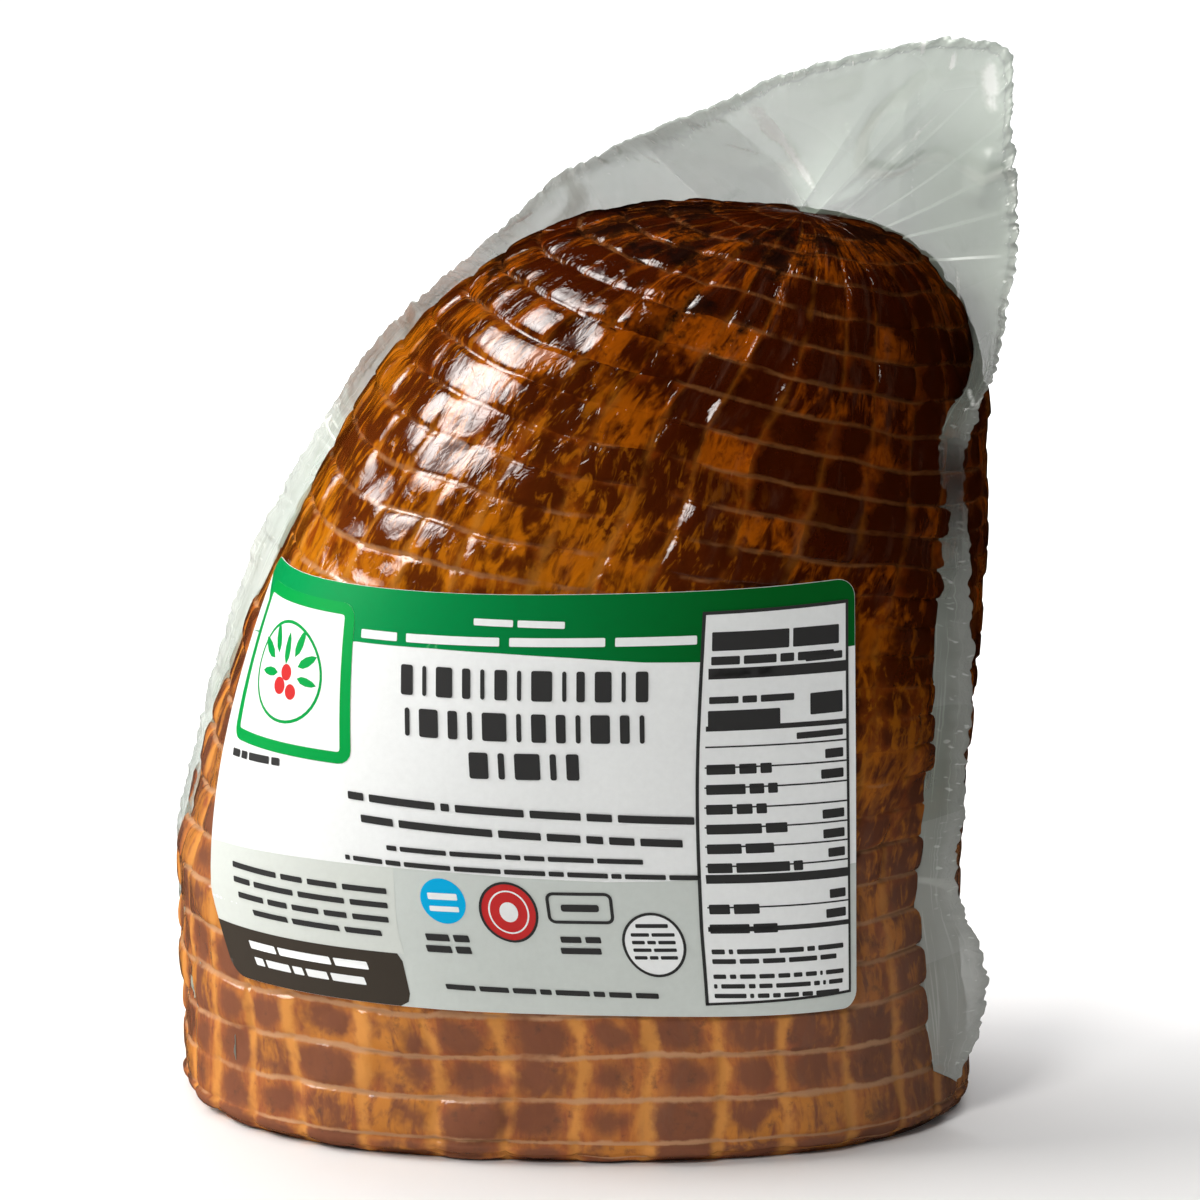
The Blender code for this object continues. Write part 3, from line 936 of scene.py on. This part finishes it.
def rim_corner(right, up):
    """Corners of a field of print along a round corner of the label, anticlockwise."""
    centre_x = LABEL_WIDTH - LABEL_CORNER if right > 0 else LABEL_CORNER
    centre_y = LABEL_HEIGHT - LABEL_CORNER if up > 0 else LABEL_CORNER
    start = {(1, 1): 0, (-1, 1): 90, (-1, -1): 180, (1, -1): 270}[right, up]
    turns = [math.radians(start + 15 * step) for step in range(7)]
    radius = LABEL_CORNER - RIM
    return [(centre_x + radius * math.cos(turn), centre_y + radius * math.sin(turn)) for turn in turns]


class Drawing:
    """Flat shapes of one ink in label millimetres, laid on the label together."""

    def __init__(self):
        self.shape = bmesh.new()

    def outline(self, *points):
        """A filled shape from its corners, anticlockwise."""
        verts = [self.shape.verts.new((x, y, 0)) for x, y in points]
        bmesh.ops.contextual_create(self.shape, geom=verts)

    def bar(self, x, y, width, height, corner=0.0, slope=0.0):
        """A bar from its lower left corner, with round corners, rising by slope."""
        made = bmesh.ops.create_grid(self.shape, x_segments=1, y_segments=1, size=0.5)["verts"]
        for vert in made:
            across, up = width * (vert.co.x + 0.5), height * (vert.co.y + 0.5)
            vert.co = Vector((x + across, y + up + slope * across, 0))
        if corner:
            bmesh.ops.bevel(
                self.shape, geom=made, offset=corner, segments=4, profile=0.5, material=-1,
                affect="VERTICES")

    def row(self, x, y, width, height, lengths, gap=0.9, slope=0.0, corner=0.5):
        """Bars in a row from its lower left corner, in the proportions of lengths."""
        unit = (width - gap * (len(lengths) - 1)) / sum(lengths)
        for length in lengths:
            self.bar(x, y, unit * length, height, min(corner, height / 3), slope)
            x += unit * length + gap
            y += slope * (unit * length + gap)

    def words(self, *lines):
        """Lines of plain dashes in the proportions of words, each given as a row is."""
        for line in lines:
            self.row(*line, corner=0.25)

    def disc(self, x, y, across, up):
        """A filled oval. Returns its face."""
        made = bmesh.ops.create_circle(self.shape, cap_ends=True, segments=40, radius=1)["verts"]
        for vert in made:
            vert.co = Vector((x + across * vert.co.x, y + up * vert.co.y, 0))
        return next(iter(made[0].link_faces))

    def hollow(self, face, border):
        """Opens a face, apart from a border inside its rim."""
        bmesh.ops.inset_region(
            self.shape, faces=[face], thickness=border, use_boundary=True, use_even_offset=True)
        bmesh.ops.delete(self.shape, geom=[face], context="FACES_ONLY")

    def ring(self, x, y, across, up, border):
        self.hollow(self.disc(x, y, across, up), border)

    def frame(self, x, y, width, height, border, corner):
        before = set(self.shape.faces)
        self.bar(x, y, width, height, corner)
        self.hollow(next(face for face in self.shape.faces if face not in before), border)

    def lay(self, name, surface, level):
        """Cuts the shapes fine enough to bend, lays them on the label and makes the piece."""
        shape = self.shape
        for axis, size, step in zip(((1, 0, 0), (0, 1, 0)), (LABEL_WIDTH, LABEL_HEIGHT), INK_CELL):
            for cut in range(1, int(size / step) + 1):
                bmesh.ops.bisect_plane(
                    shape, geom=shape.verts[:] + shape.edges[:] + shape.faces[:],
                    plane_co=Vector(axis) * cut * step, plane_no=axis)
        bmesh.ops.triangulate(shape, faces=shape.faces)
        for face in shape.faces:
            if face.normal.z < 0:
                face.normal_flip()
        skin_under_label().lay(shape, LABEL_LIFT + (INK_LIFT + level * INK_STEP) * MM)
        thicken(finished(name, shape, surface, "label_paper"), INK)


# ---- What each ink prints, in label millimetres, and the two colours that no setting holds ----
# A row of words or blocks: its lower left corner, width and height, the lengths of its words, the gap
# between them and its slope

PALE_FIELD = (0.66, 0.70, 0.66)
LEAF_GREEN = (0.0, 0.33, 0.06)
BAND_FOOT = (
    (RIM, 77), (14, 80.2), (29, 81.5), (46, 81.8), (63, 81.8), (77, 81.3), (91, 80.5), (106, 79.3),
    (117, 79.0), (134, 79.3), (RIM_RIGHT, 79.7),
)
FIELD_RIGHT_TOP = (
    (RIM_RIGHT, 32.3), (132, 31.7), (116, 31.2), (106, 30.9), (96, 30.8), (80, 31.4), (66, 32.2),
    (53, 32.5),
)
FIELD_LEFT_TOP = (34, 32.3), (23, 31.9), (6.4, 31.0), (RIM, 30.4)
BOX_TOP = 12.6
EMBLEM = (7.2, 54.6, 38.2, 35.2)
EMBLEM_CORNER = 3.2
LEAF = (
    (-1, 0), (-0.55, -0.42), (0, -0.5), (0.6, -0.34), (1, 0), (0.6, 0.34), (0, 0.5), (-0.55, 0.42),
)
# Each leaf's middle, turn in degrees, half length and width
LEAVES = (
    (18.6, 76.5, 150, 3.6, 2.4), (22.0, 79.2, 110, 3.4, 2.2), (30.6, 79.2, 68, 3.4, 2.2),
    (33.4, 75.6, 28, 3.2, 2.2), (26.4, 77.6, 90, 3.6, 2.0), (20.6, 71.6, 185, 3.2, 2.0),
    (33.6, 71.2, -8, 3.0, 1.9),
)
# Each berry's middle and radius
BERRIES = (25.0, 69.2, 1.9), (28.9, 68.4, 1.7), (26.9, 72.4, 1.8)
BLUE_DISC = (61.8, 25.6)
RED_DISC = (75.0, 23.6)
PALE_DISC = (104.6, 16.5)
WHITE_WORDS = (
    (71.6, 87.252, 18.2, 1.5, (5, 6), 0.9, -0.03), (47.4, 82.8, 69.0, 1.9, (3, 7, 7, 6), 2.0),
    (10.2, 8.0, 31.0, 1.8, (7, 12, 7)), (10.2, 4.2, 29.0, 1.8, (2, 5, 2, 4, 6)),
    (58.8, 25.9, 6.0, 1.5, (1,)), (58.8, 23.2, 6.0, 1.2, (1,)),
)
TITLE = (
    (56.7, 71.4, 50.0, 6.6, (3, 1, 4, 2, 1, 3, 1, 5, 1, 2, 4, 1, 3), 2.0, -0.012),
    (57.5, 62.4, 48.4, 6.2, (1, 4, 2, 1, 5, 1, 3, 2, 1, 4, 2, 1), 2.0, -0.012),
    (70.4, 53.8, 22.1, 5.8, (3, 1, 4, 1, 2), 2.0),
)
DARK_WORDS = (
    (44.3, 47.185, 71.0, 1.7, (2, 8, 1, 8, 6, 3, 9), 1.2, -0.05),
    (46.8, 42.226, 65.8, 1.7, (4, 11, 5, 4, 2, 3, 5), 1.2, -0.055),
    (51.7, 36.449, 52.5, 1.1, (2, 9, 10, 3, 4, 9, 9), 0.7, -0.03),
    (42.3, 33.331, 73.3, 1.1, (1, 6, 3, 9, 9, 8, 3, 8, 2, 8, 6), 0.7, -0.03),
    (8.0, 50.68, 18.8, 1.7, (3, 2, 6, 2), 0.9, 0.06),
    (10.3, 26.3, 40.0, 1.3, (10, 4, 5, 7), 1.3), (10.4, 23.0, 39.6, 1.3, (4, 8, 8, 6), 1.3),
    (11.6, 19.7, 38.0, 1.3, (6, 4, 5, 4, 6), 1.3), (15.3, 16.4, 31.9, 1.3, (6, 7, 5), 1.3),
    (56.6, 16.3, 9.0, 1.6, (3, 2)), (55.9, 13.6, 9.4, 1.6, (5, 3)),
    (57.3, 5.054, 46.5, 1.2, (5, 5, 4, 2, 6, 2, 4, 4), 0.9, -0.02),
    (84.9, 16.8, 8.6, 1.4, (4, 3)), (84.4, 14.2, 8.7, 1.4, (1,)), (101.2, 20.4, 6.8, 0.9, (1,)),
    (100.0, 18.4, 9.2, 0.8, (4, 5), 0.5), (100.0, 16.65, 9.2, 0.8, (3, 2, 4), 0.5),
    (100.0, 14.9, 9.2, 0.8, (4, 5), 0.5), (100.0, 13.15, 9.2, 0.8, (3, 2, 4), 0.5),
)
PANEL_SLOPE = -0.02
PANEL_FIELD = (114.6, 3.0), (147.6, 3.9), (147.8, 89.2), (118.2, 89.2)
PANEL_LEFT = (114.0, 117.9)  # at the panel's foot and at its top
PANEL_FOOT, PANEL_HEIGHT = 3, 86.5
# Corners of each line round the panel
PANEL_EDGES = (
    ((114.0, 2.6), (148.2, 3.5), (148.2, 4.1), (114.0, 3.2)),
    ((117.5, 88.9), (148.4, 88.9), (148.4, 89.6), (117.5, 89.6)),
    ((147.6, 3.5), (148.2, 3.5), (148.4, 89.6), (147.8, 89.6)),
    ((113.8, 2.6), (114.5, 2.6), (118.2, 89.6), (117.5, 89.6)),
)
# Height on the label and thickness of each rule
PANEL_RULES = (
    (75.2, 2.3), (64.0, 1.1), (30.3, 2.0), (19.4, 1.1), (60.4, 0.35), (55.9, 0.35), (51.5, 0.35),
    (47.1, 0.35), (42.7, 0.35), (38.4, 0.35), (34.0, 0.35), (24.7, 0.35),
)
# Height on the label, height of the words, their lengths and the share of the panel's width they fill
PANEL_WORDS = (
    (83.6, 4.0, (8, 5), 0.96), (80.6, 1.8, (6, 7, 3, 8), 0.92), (78.0, 1.6, (7, 4), 0.5),
    (72.3, 1.5, (6, 3, 7), 0.62), (67.0, 3.8, (8,), 0.52), (56.9, 2.2, (5, 3, 2), 0.46),
    (52.5, 2.2, (8, 3, 2), 0.5), (48.1, 2.2, (5, 3, 2), 0.42), (43.7, 2.2, (10, 4), 0.56),
    (39.3, 2.2, (6, 5), 0.46), (35.0, 2.2, (5, 11, 2), 0.66),
    (25.7, 2.2, (4, 5), 0.34), (21.3, 2.1, (8, 5), 0.46), (16.6, 1.1, (3, 1, 9, 6, 2, 7), 0.96),
    (14.4, 1.1, (6, 5, 6, 8, 5), 0.9), (11.0, 1.0, (4, 2, 5, 5, 4, 3, 4, 1, 7), 0.96),
    (8.8, 1.0, (1, 7, 2, 4, 11, 2, 1, 5), 0.95), (6.6, 1.0, (8, 1, 3, 2, 4, 3, 7), 0.92),
)
# Height on the label, width and height of each number at the panel's right
PANEL_SHARES = (
    (78.0, 8.0, 1.6), (66.6, 7.0, 4.6), (61.6, 10.0, 1.4), (56.9, 4.0, 2.0), (52.5, 5.0, 2.0),
    (43.7, 5.0, 2.0), (39.3, 5.0, 2.0), (35.0, 4.0, 2.0), (25.7, 4.0, 2.0), (21.3, 5.0, 2.0),
)


def panel_left(y):
    """Left edge of the panel at a height."""
    return PANEL_LEFT[0] + (PANEL_LEFT[1] - PANEL_LEFT[0]) * (y - PANEL_FOOT) / PANEL_HEIGHT


def draw_emblem(green):
    """A ring and a sprig of leaves in a square frame."""
    green.frame(*EMBLEM, 2.6, EMBLEM_CORNER)
    green.ring(26.3, 72.4, 11.8, 11.2, 0.7)
    for x, y, turn, long, wide in LEAVES:
        cos, sin = math.cos(math.radians(turn)), math.sin(math.radians(turn))
        green.outline(*[
            (x + long * a * cos - wide * b * sin, y + long * a * sin + wide * b * cos) for a, b in LEAF])


def draw_red(red):
    for x, y, size in BERRIES:
        red.disc(x, y, size, size)
    red.disc(*RED_DISC, 5.6, 6.5)


def draw_white(white):
    white.disc(*PALE_DISC, 6.1, 6.8)
    white.outline(*PANEL_FIELD)
    white.words(*WHITE_WORDS)
    white.ring(*RED_DISC, 4.2, 5.0, 0.35)
    white.disc(*RED_DISC, 1.9, 2.3)


def draw_dark(dark):
    for line in TITLE:
        dark.row(*line)
    dark.words(*DARK_WORDS)
    dark.frame(83.0, 21.2, 14.0, 7.2, 0.7, 1.6)
    dark.bar(86.0, 24.0, 8.0, 1.6, 0.5)
    dark.ring(*RED_DISC, 6.1, 7.0, 0.55)
    dark.ring(*PALE_DISC, 6.7, 7.4, 0.6)


def draw_panel(panel):
    for edge in PANEL_EDGES:
        panel.outline(*edge)
    for y, height in PANEL_RULES:
        left = panel_left(y)
        panel.bar(left + 1.5, y, 146.4 - left, height, slope=PANEL_SLOPE)
    for y, height, lengths, share in PANEL_WORDS:
        left = panel_left(y)
        start = left + 1.8
        panel.words((
            start, y + PANEL_SLOPE * start, (145.6 - left) * share, height, lengths, 0.8, PANEL_SLOPE))
    panel.words(*[(147.0 - width, y - 0.5, width, height, (1,)) for y, width, height in PANEL_SHARES])


class HAM_OT_print(bpy.types.Operator):
    """Print the label with plain fields of colour, dashes and a sprig of berries"""

    bl_idname = "glazed_ham.print"
    bl_label = "Label print"

    def execute(self, context):
        look = context.scene.ham_label
        low_corners = *rim_corner(-1, -1), *rim_corner(1, -1)
        top_corners = *rim_corner(1, 1), *rim_corner(-1, 1)
        box = (
            *rim_corner(-1, -1), (45.5, RIM), (47.6, 1.2), (48.6, 3.2), (49.6, 10.8), (49, BOX_TOP),
            (RIM, BOX_TOP))
        pale_field = (RIM, BOX_TOP), (50.5, BOX_TOP), (52.5, 32.5), *FIELD_LEFT_TOP
        inks = (
            ("print_band", "print_green", (look.band, look.band_right), 1,
             lambda ink: ink.outline(*BAND_FOOT, *top_corners)),
            ("print_field", "print_grey", (look.field,), 1,
             lambda ink: ink.outline(*low_corners, *FIELD_RIGHT_TOP, *FIELD_LEFT_TOP)),
            ("print_pale_field", "print_pale_grey", (PALE_FIELD,), 3,
             lambda ink: ink.outline(*pale_field)),
            ("print_box", "print_brown", (look.box,), 5, lambda ink: ink.outline(*box)),
            ("print_emblem_plate", "print_white", (look.paper,), 3,
             lambda ink: ink.bar(*EMBLEM, EMBLEM_CORNER)),
            ("print_emblem", "print_leaf", (LEAF_GREEN,), 5, draw_emblem),
            ("print_red", "print_berry", (look.red,), 5, draw_red),
            ("print_blue", "print_sky_blue", (look.blue,), 5,
             lambda ink: ink.disc(*BLUE_DISC, 4.6, 5.2)),
            ("print_white_marks", "print_white_ink", (look.paper,), 7, draw_white),
            ("print_dark_marks", "print_black", (look.ink,), 9, draw_dark),
            ("print_panel_marks", "print_panel_black", (look.ink,), 9, draw_panel),
        )
        for name, ink_name, colours, level, draw in inks:
            drawing = Drawing()
            draw(drawing)
            drawing.lay(name, printed(ink_name, *colours), level)
        return {"FINISHED"}


# ======== The loose film ========


def edge_through(points, share):
    """Smooth curve through points that hold any number of values, read at a share of its spans."""
    spans = len(points) - 1
    first = min(int(share * spans), spans - 1)
    part = share * spans - first
    near = [points[min(max(first + step, 0), spans)] for step in (-1, 0, 1, 2)]
    return [
        0.5 * (2 * b + (c - a) * part + (2 * a - 5 * b + 4 * c - d) * part**2
               + (3 * b - a - 3 * c + d) * part**3)
        for a, b, c, d in zip(*near)
    ]


def smooth(value, low, high):
    part = min(1, max(0, (value - low) / (high - low)))
    return part * part * (3 - 2 * part)


# Creases of the flap as lines from (x, z) to (x, z) in millimetres, with their height and half width
CREASES = (
    (37, 207, 47, 199, 1.4, 4.0), (17, 211, 38, 203, 1.0, 3.5), (32, 218, 38, 204, 1.6, 6.0),
    (73, 216, 53, 197, 0.8, 2.5), (68, 233, 67, 193, 0.7, 3.0), (86, 214, 84, 202, 1.5, 4.5),
    (48, 197, 60, 203, 0.6, 2.0), (77, 191, 84, 172, 1.2, 5.0), (-12, 196, 2, 201, 0.8, 3.0),
    (-38, 170, -26, 176, 0.8, 3.0),
)


# Bright glints on the film in the same form, with their strength in place of a height
GLINTS = (
    (35.5, 222, 48.6, 202.4, 1.0, 1.6), (33.5, 221, 41, 212, 0.8, 2.0), (71.3, 238, 70.9, 234, 0.9, 1.0),
    (77.9, 235.5, 77.3, 231, 1.0, 1.0), (85.2, 234, 86.2, 222, 0.9, 3.6), (70.8, 231, 69.3, 198, 0.35, 0.9),
    (75.4, 221.8, 56.1, 200.7, 0.5, 0.8), (28.8, 211.2, 38.3, 208.4, 0.6, 0.8),
    (39.6, 208, 44, 203.9, 0.5, 2.0), (88.5, 210.6, 92, 210.2, 0.8, 0.7),
    (79.4, 186.5, 80.9, 168.6, 0.9, 0.6), (81.3, 163.5, 82.2, 160.8, 0.9, 1.2),
    (87.3, 164.2, 82.9, 147.3, 0.8, 0.6), (55, 219, 57, 211, 0.35, 3.2), (-20, 190, -12, 195, 0.6, 1.0),
    (10, 209, 16, 205, 0.5, 1.2), (86.5, 68, 84.5, 58, 0.5, 1.6), (88.5, 35, 89.5, 28, 0.5, 1.4),
)


def lines_at(lines, x, z):
    """Sum of the creases or glints at a spot of the film."""
    height = 0.0
    for x0, z0, x1, z1, tall, wide in lines:
        run, rise = x1 - x0, z1 - z0
        part = ((x - x0) * run + (z - z0) * rise) / (run * run + rise * rise)
        off = math.dist((x, z), (x0 + run * part, z0 + rise * part))
        ends = smooth(part, -0.15, 0.2) * (1 - smooth(part, 0.8, 1.15))
        height += tall * ends * max(0, 1 - off / wide)
    return height


def outline_angle(share, right, out):
    """Angle in degrees at which the ham's skin reaches furthest out as seen from a little above."""
    turns = [turn if right else 180 - turn for turn in range(-30, 91, 3)]
    tip = math.sin(VIEW_ELEVATION)

    def reach(turn):
        point = ham_skin(math.radians(turn), share)
        return point.x * out.x + (point.z + point.y * tip) * out.z
    return max(turns, key=reach)


class FilmRib:
    """Everything about the loose film at one place along its sealed edge."""

    def __init__(self, along):
        leave, x, z = edge_through(FILM_EDGE, along)
        right = leave < 1
        climb = leave if right else 2 - leave
        lean = FILM_ANGLE_RIGHT[0] + (FILM_ANGLE_RIGHT[1] - FILM_ANGLE_RIGHT[0]) * climb
        angle = lean if right else FILM_ANGLE_LEFT
        root = ham_skin(math.radians(angle), climb)
        edge = Vector((x * MM, root.y, z * MM))
        self.flap = min(1, max(0, ((edge - root).length - FILM_STRIP) / (FILM_FLAP - FILM_STRIP)))
        edge.y += (-FILM_LEAN * (edge.x - FILM_LEAN_X) - root.y) * self.flap
        self.along, self.edge, self.width = along, edge, (edge - root).length
        self.out = (edge - root).normalized()
        share = min(max(climb, FILM_ROOT_SHARES[0]), FILM_ROOT_SHARES[1])
        upper = smooth(climb, *FILM_CROWN) if right else 1.0
        front = angle - FILM_ROOT_LOW if right else angle
        front += (outline_angle(share, right, self.out) - front) * upper
        if right:
            front, back = front - FILM_ROOT_FRONT * upper, front + FILM_ROOT_BACK
        else:
            front, back = front + FILM_ROOT_FRONT, front - FILM_ROOT_BACK
        self.roots = []
        for side in (front, back):
            point = ham_skin(math.radians(side), share)
            centre = section_at(share)[0]
            away = Vector((point.x - centre.x, point.y - centre.y, 0)).normalized()
            self.roots.append((point, away))
        self.arc = 0.0

    def crimp(self, before):
        """Crimps of the sealed edge, by the length along it."""
        self.arc = before.arc + (self.edge - before.edge).length / MM if before else 0.0
        broad = noise.noise(Vector((self.arc / 11, 1.7, 4.4)))
        lobe = abs(noise.noise(Vector((self.arc / 4.2, 3.1, 8.8)))) ** 0.6
        tooth = abs(noise.noise(Vector((self.arc / 1.7, 5.2, 1.3)))) ** 0.7
        self.scallop = broad * 1.1 + lobe * 1.3 + tooth * 0.8 - 1.1
        self.bead = noise.noise(Vector((self.arc / 1.3, 9.1, 2.8)))


def film_point(look, rib, out, wall):
    """Point of one wall of the film, 0 in front and 1 behind, out from the ham."""
    root, away = rib.roots[wall]
    start = root - away * FILM_ROOT_DEPTH
    bend = start.lerp(rib.edge, 0.45) + away * (0.5 * MM + 0.05 * rib.width)
    point = start * (1 - out) ** 2 + bend * 2 * out * (1 - out) + rib.edge * out**2
    aside = Vector((FILM_LEAN, 1, 0)).normalized()
    reach = min(1, rib.width / FILM_FOLD_WIDTH)
    along, across = rib.along * FILM_FOLD_SCALE[0], out * FILM_FOLD_SCALE[1]
    fold = noise.noise(Vector((along, across, FILM_FOLD_SEED)))
    fold *= 1 - 0.92 * rib.flap
    fold += 0.40 * rib.flap * noise.noise(Vector((point.x, point.z, 0.02)) * 30)
    point += aside * fold * look.fold * reach * out
    point -= aside * lines_at(CREASES, point.x / MM, point.z / MM) * MM * rib.flap
    from_edge = (1 - out) * rib.width / MM
    rim = 1 - smooth(from_edge, 0.0, FILM_RIM)
    crinkle = noise.noise(Vector((rib.arc / 3.0, from_edge / 6, 3.7)))
    point += aside * (crinkle * look.crinkle + rib.scallop * 0.8 * MM) * rim
    point += rib.out * (rib.scallop * 0.9 + rib.bead * 0.35) * MM * rim**1.5
    seal = 1 - smooth(from_edge, *FILM_SEAL)
    apart = 0.5 + 0.5 * noise.noise(Vector((rib.along * 30, out * 4, 6.1 + wall)))
    apart *= FILM_APART * (1 - seal) * out
    apart += FILM_SEALED_APART * (1 + 2 * abs(rib.bead) * seal)
    return point + aside * apart * MM * (1 if wall else -1)


def shape_film(look, shape):
    """Two walls of film from the ham to the sealed edge, joined all round."""
    ribs = [FilmRib(step / FILM_SEGMENTS) for step in range(FILM_SEGMENTS + 1)]
    for before, rib in zip([None, *ribs], ribs):
        rib.crimp(before)
    layer, reach, glint = (shape.loops.layers.uv.new(name) for name in ("film", "reach", "glint"))
    for wall in (0, 1):
        before = set(shape.verts)
        bmesh.ops.create_grid(shape, x_segments=FILM_SEGMENTS, y_segments=FILM_BANDS, size=0.5)
        made = [vert for vert in shape.verts if vert not in before]
        places = {vert: (vert.co.x + 0.5, vert.co.y + 0.5) for vert in made}
        for vert, (along, out) in places.items():
            vert.co = film_point(look, ribs[round(along * FILM_SEGMENTS)], out, wall)
        for vert, (along, out) in places.items():
            rib = ribs[round(along * FILM_SEGMENTS)]
            width = rib.width / MM
            behind = wall * FILM_BEHIND * smooth(width, *FILM_BACK_WIDTHS)
            bright = 0.0 if wall else min(lines_at(GLINTS, vert.co.x / MM, vert.co.z / MM), 1)
            for loop in vert.link_loops:
                loop[layer].uv = (rib.arc / 100, out)
                loop[reach].uv = (out * width + behind, (1 - out) * width)
                loop[glint].uv = (bright, 0)
    rims = [edge for edge in shape.edges if edge.is_boundary]
    bmesh.ops.bridge_loops(shape, edges=rims)
    bmesh.ops.recalc_face_normals(shape, faces=shape.faces)


class HAM_OT_film(bpy.types.Operator):
    """Make the loose film round the ham, with its folds and sealed edge"""

    bl_idname = "glazed_ham.film"
    bl_label = "Loose film"

    def execute(self, context):
        look = context.scene.ham_film
        shape = bmesh.new()
        shape_film(look, shape)
        film = finished("loose_film", shape, clear_film(look), "clear_film", "bag_edge")
        film.visible_glossy = False
        return {"FINISHED"}


# ======== The studio ========

TARGET = Vector((2.4 * MM, 0, 110.7 * MM))
CAMERA_AWAY = 1.5
FRAME_WIDTH = 0.264  # width of the picture at the target
SENSOR = 36  # millimetres
FLOOR_HALF = 4
FLOOR_BACK = 2
FLOOR_DROP = 0.1 * MM
FLOOR_MOTTLE = (0.88, 0.88, 0.88)
WARM, WHITE = (1.0, 0.97, 0.94), (1.0, 1.0, 1.0)
# Each lamp's name and setting, its place, size, spread in degrees and colour, what it points at, and
# whether it is only mirrored by glossy surfaces
LAMPS = (
    ("key_light", "key", (-0.87, 0.02, 0.70), (0.66, 0.72), 60, WARM, (0, 0, 0.1), False),
    ("gloss_light", "gloss", (-0.78, -0.12, 0.80), (0.96, 0.96), 60, WARM, (-0.02, 0, 0.12), True),
    ("fill_light", "fill", (-0.5, -1.1, 1.0), (0.4, 0.4), 40, WARM, (0, 0, 0.12), False),
    ("floor_light", "floor_light", (0.1, 0.5, 1.1), (1.8, 0.8), 180, WHITE, (0.1, 1.9, 0), False),
)


def pointed(direction):
    """Turn that points a lamp or camera along a direction."""
    return direction.to_track_quat("-Z", "Y").to_euler()


def softbox(name, place, size, spread, power, colour, aim, mirrored):
    """A soft rectangular lamp that either lights surfaces or is mirrored by them."""
    light = bpy.data.lights.new(name, "AREA")
    light.shape = "RECTANGLE"
    light.size, light.size_y = size
    light.spread = math.radians(spread)
    light.energy, light.color = power, colour
    lamp = bpy.data.objects.new(name, light)
    lamp.location = place
    lamp.rotation_euler = pointed(Vector(aim) - Vector(place))
    lamp.visible_glossy, lamp.visible_diffuse = mirrored, not mirrored
    return lamp


def make_floor(look):
    shape = bmesh.new()
    bmesh.ops.create_grid(shape, x_segments=8, y_segments=8, size=FLOOR_HALF)
    bmesh.ops.translate(shape, vec=(0, FLOOR_BACK, -FLOOR_DROP), verts=shape.verts)
    mesh = bpy.data.meshes.new("floor")
    shape.to_mesh(mesh)
    shape.free()
    shader = Shader("pale_floor", roughness=0.6, specular_ior_level=0.2)
    mottle = shader.noise(shader.place(), 3, 2)
    shader.set("Base Color", shader.mix(mottle * 0.1, look.floor, FLOOR_MOTTLE))
    mesh.materials.append(shader.material)
    floor = bpy.data.objects.new("floor", mesh)
    floor.visible_glossy = False
    return floor


class HAM_OT_stage(bpy.types.Operator):
    """Set up the pale floor, the soft lights and the camera"""

    bl_idname = "glazed_ham.stage"
    bl_label = "Studio"

    def execute(self, context):
        scene, look = context.scene, context.scene.ham_stage
        things = scene.collection.objects
        floor = make_floor(look)
        things.link(floor)
        for name, setting, place, size, spread, colour, aim, mirrored in LAMPS:
            power = getattr(look, setting)
            things.link(softbox(name, place, size, spread, power, colour, aim, mirrored))

        world = bpy.data.worlds.new("studio")
        world.use_nodes = True
        background = world.node_tree.nodes["Background"].inputs
        background["Color"].default_value = (1, 1, 1, 1)
        background["Strength"].default_value = look.sky
        world.cycles_visibility.glossy = False
        scene.world = world
        scene.view_settings.view_transform = "Standard"

        back = Vector((0, -math.cos(look.elevation), math.sin(look.elevation)))
        lens = bpy.data.cameras.new("camera")
        lens.sensor_width = SENSOR
        lens.lens = SENSOR * CAMERA_AWAY / FRAME_WIDTH
        camera = bpy.data.objects.new("camera", lens)
        camera.location = TARGET + back * CAMERA_AWAY
        camera.rotation_euler = pointed(-back)
        things.link(camera)
        scene.camera = camera
        return {"FINISHED"}


class HAM_PT_panel(bpy.types.Panel):
    """Panel of the ham's sizes, colours and makers"""

    bl_label = "Glazed Ham"
    bl_idname = "HAM_PT_panel"
    bl_space_type = "VIEW_3D"
    bl_region_type = "UI"
    bl_category = "Glazed Ham"

    def draw(self, context):
        for maker in MAKERS:
            self.layout.operator(maker.bl_idname)
        for name in GROUPS:
            box = self.layout.box()
            look = getattr(context.scene, name)
            for field in look.__annotations__:
                box.prop(look, field)


GROUPS = {"ham_meat": HamMeat, "ham_film": HamFilm, "ham_label": HamLabel, "ham_stage": HamStage}
MAKERS = (HAM_OT_meat, HAM_OT_label, HAM_OT_print, HAM_OT_film, HAM_OT_stage)


def register():
    for kind in (*GROUPS.values(), *MAKERS, HAM_PT_panel):
        bpy.utils.register_class(kind)
    for name, kind in GROUPS.items():
        setattr(bpy.types.Scene, name, PointerProperty(type=kind))


def unregister():
    for name in GROUPS:
        delattr(bpy.types.Scene, name)
    for kind in reversed((*GROUPS.values(), *MAKERS, HAM_PT_panel)):
        bpy.utils.unregister_class(kind)


def main():
    register()
    bpy.ops.glazed_ham.meat()
    bpy.ops.glazed_ham.label()
    bpy.ops.glazed_ham.print()
    bpy.ops.glazed_ham.film()
    bpy.ops.glazed_ham.stage()


if __name__ == "__main__":
    main()
